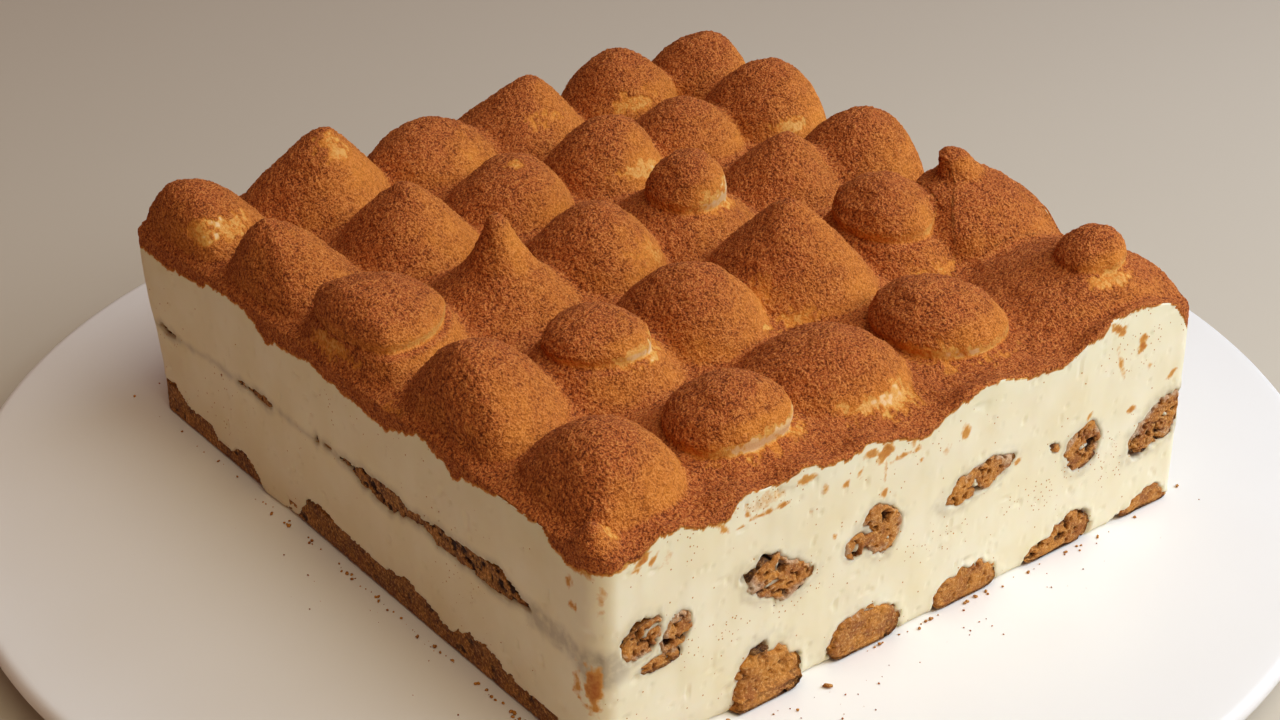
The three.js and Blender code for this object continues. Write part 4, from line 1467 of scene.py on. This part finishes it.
# The light of the room: warm from the walls and pale from the ceiling. The camera sees a plain
# backdrop instead.
roomLight = {
    "walls": ("#ff1400", 0.119),  # colour and strength
    "ceiling": ("#ffe5cb", 0.2),
    "wallTop": 0.3,  # where the walls end and the ceiling begins, as the sine of the height angle
    "ceilingEdge": 0.8,
    "backdrop": "#b7a99a",
}


def makeRoom():
    glowing = (roomLight["walls"], roomLight["ceiling"])
    colours = [np.array(linear(colour)) * strength for colour, strength in glowing]
    world = bpy.data.worlds.new("room")
    world.use_nodes = True
    tree = world.node_tree
    tree.nodes.clear()
    way = addNode(tree, "ShaderNodeTexCoord").outputs["Generated"]
    height = addNode(tree, "ShaderNodeSeparateXYZ", {0: way}).outputs["Z"]
    blend = {"Value": height, "From Min": roomLight["wallTop"], "From Max": roomLight["ceilingEdge"]}
    share = addNode(tree, "ShaderNodeMapRange", blend)
    glow = addNode(tree, "ShaderNodeMix", {0: share, 6: colours[0], 7: colours[1]}, data_type="RGBA")
    seen = addNode(tree, "ShaderNodeLightPath").outputs["Is Camera Ray"]
    backdrop = {0: seen, 6: glow, 7: linear(roomLight["backdrop"])}
    colour = addNode(tree, "ShaderNodeMix", backdrop, data_type="RGBA")
    background = addNode(tree, "ShaderNodeBackground", {"Color": colour})
    addNode(tree, "ShaderNodeOutputWorld", {"Surface": background})
    bpy.context.scene.world = world


# The camera stands off the cake's front left corner and looks down at it
view = {
    "place": (-207.25, -280.1, 286.45),  # from the cake's corner, in millimetres
    "lens": 63.63,
    "sensorWidth": 36.0,
    "heading": 52.156,  # degrees from +X
    "down": 28.977,
    "roll": 0.086,
}


def makeCamera():
    camera = bpy.data.cameras.new("camera")
    camera.lens = view["lens"]
    camera.sensor_width = view["sensorWidth"]
    camera.clip_start = 0.01
    body = bpy.data.objects.new("camera", camera)
    body.location = (np.array(view["place"]) + cakeOrigin) * mm
    turned = (90 - view["down"], view["roll"], view["heading"] - 90)
    body.rotation_euler = Euler([math.radians(angle) for angle in turned], "XYZ")
    bpy.context.scene.collection.objects.link(body)
    bpy.context.scene.camera = body


makeCamera()
for lampName in lamps:
    makeLamp(lampName)
makeRoom()
makeFloor(paintedTable())
bpy.context.scene.view_settings.view_transform = "Standard"
print("camera, light and table are in place")

makePlate(glazedPorcelain())
print("plate made")

cocoaOnCream = creamAndCocoa("cocoa powder on whipped mascarpone")
for rowNumber, row in enumerate(moundRows, 1):
    for columnNumber, mound in enumerate(row, 1):
        makeMound(f"mound_{rowNumber}_{columnNumber}", mound, cocoaOnCream)
print("mounds made")

makeCream(creamAndCocoa("cut mascarpone cream"))
print("cut cream made")

sponge = soakedSponge()
for kind, specs in (("finger_lower", lowerFingers), ("finger_middle", middleFingers)):
    for number, spec in enumerate(specs, 1):
        makeFinger(f"{kind}_{number}", spec, number, sponge)
print("sponge fingers made")

makeCrumbs("crumbs_on_plate", "sponge", sponge, {"crumb": -0.15})
makeCrumbs("cocoa_on_plate", "cocoa", cocoaOnCream, {"dustAndShade": 1.0})
print("crumbs made")
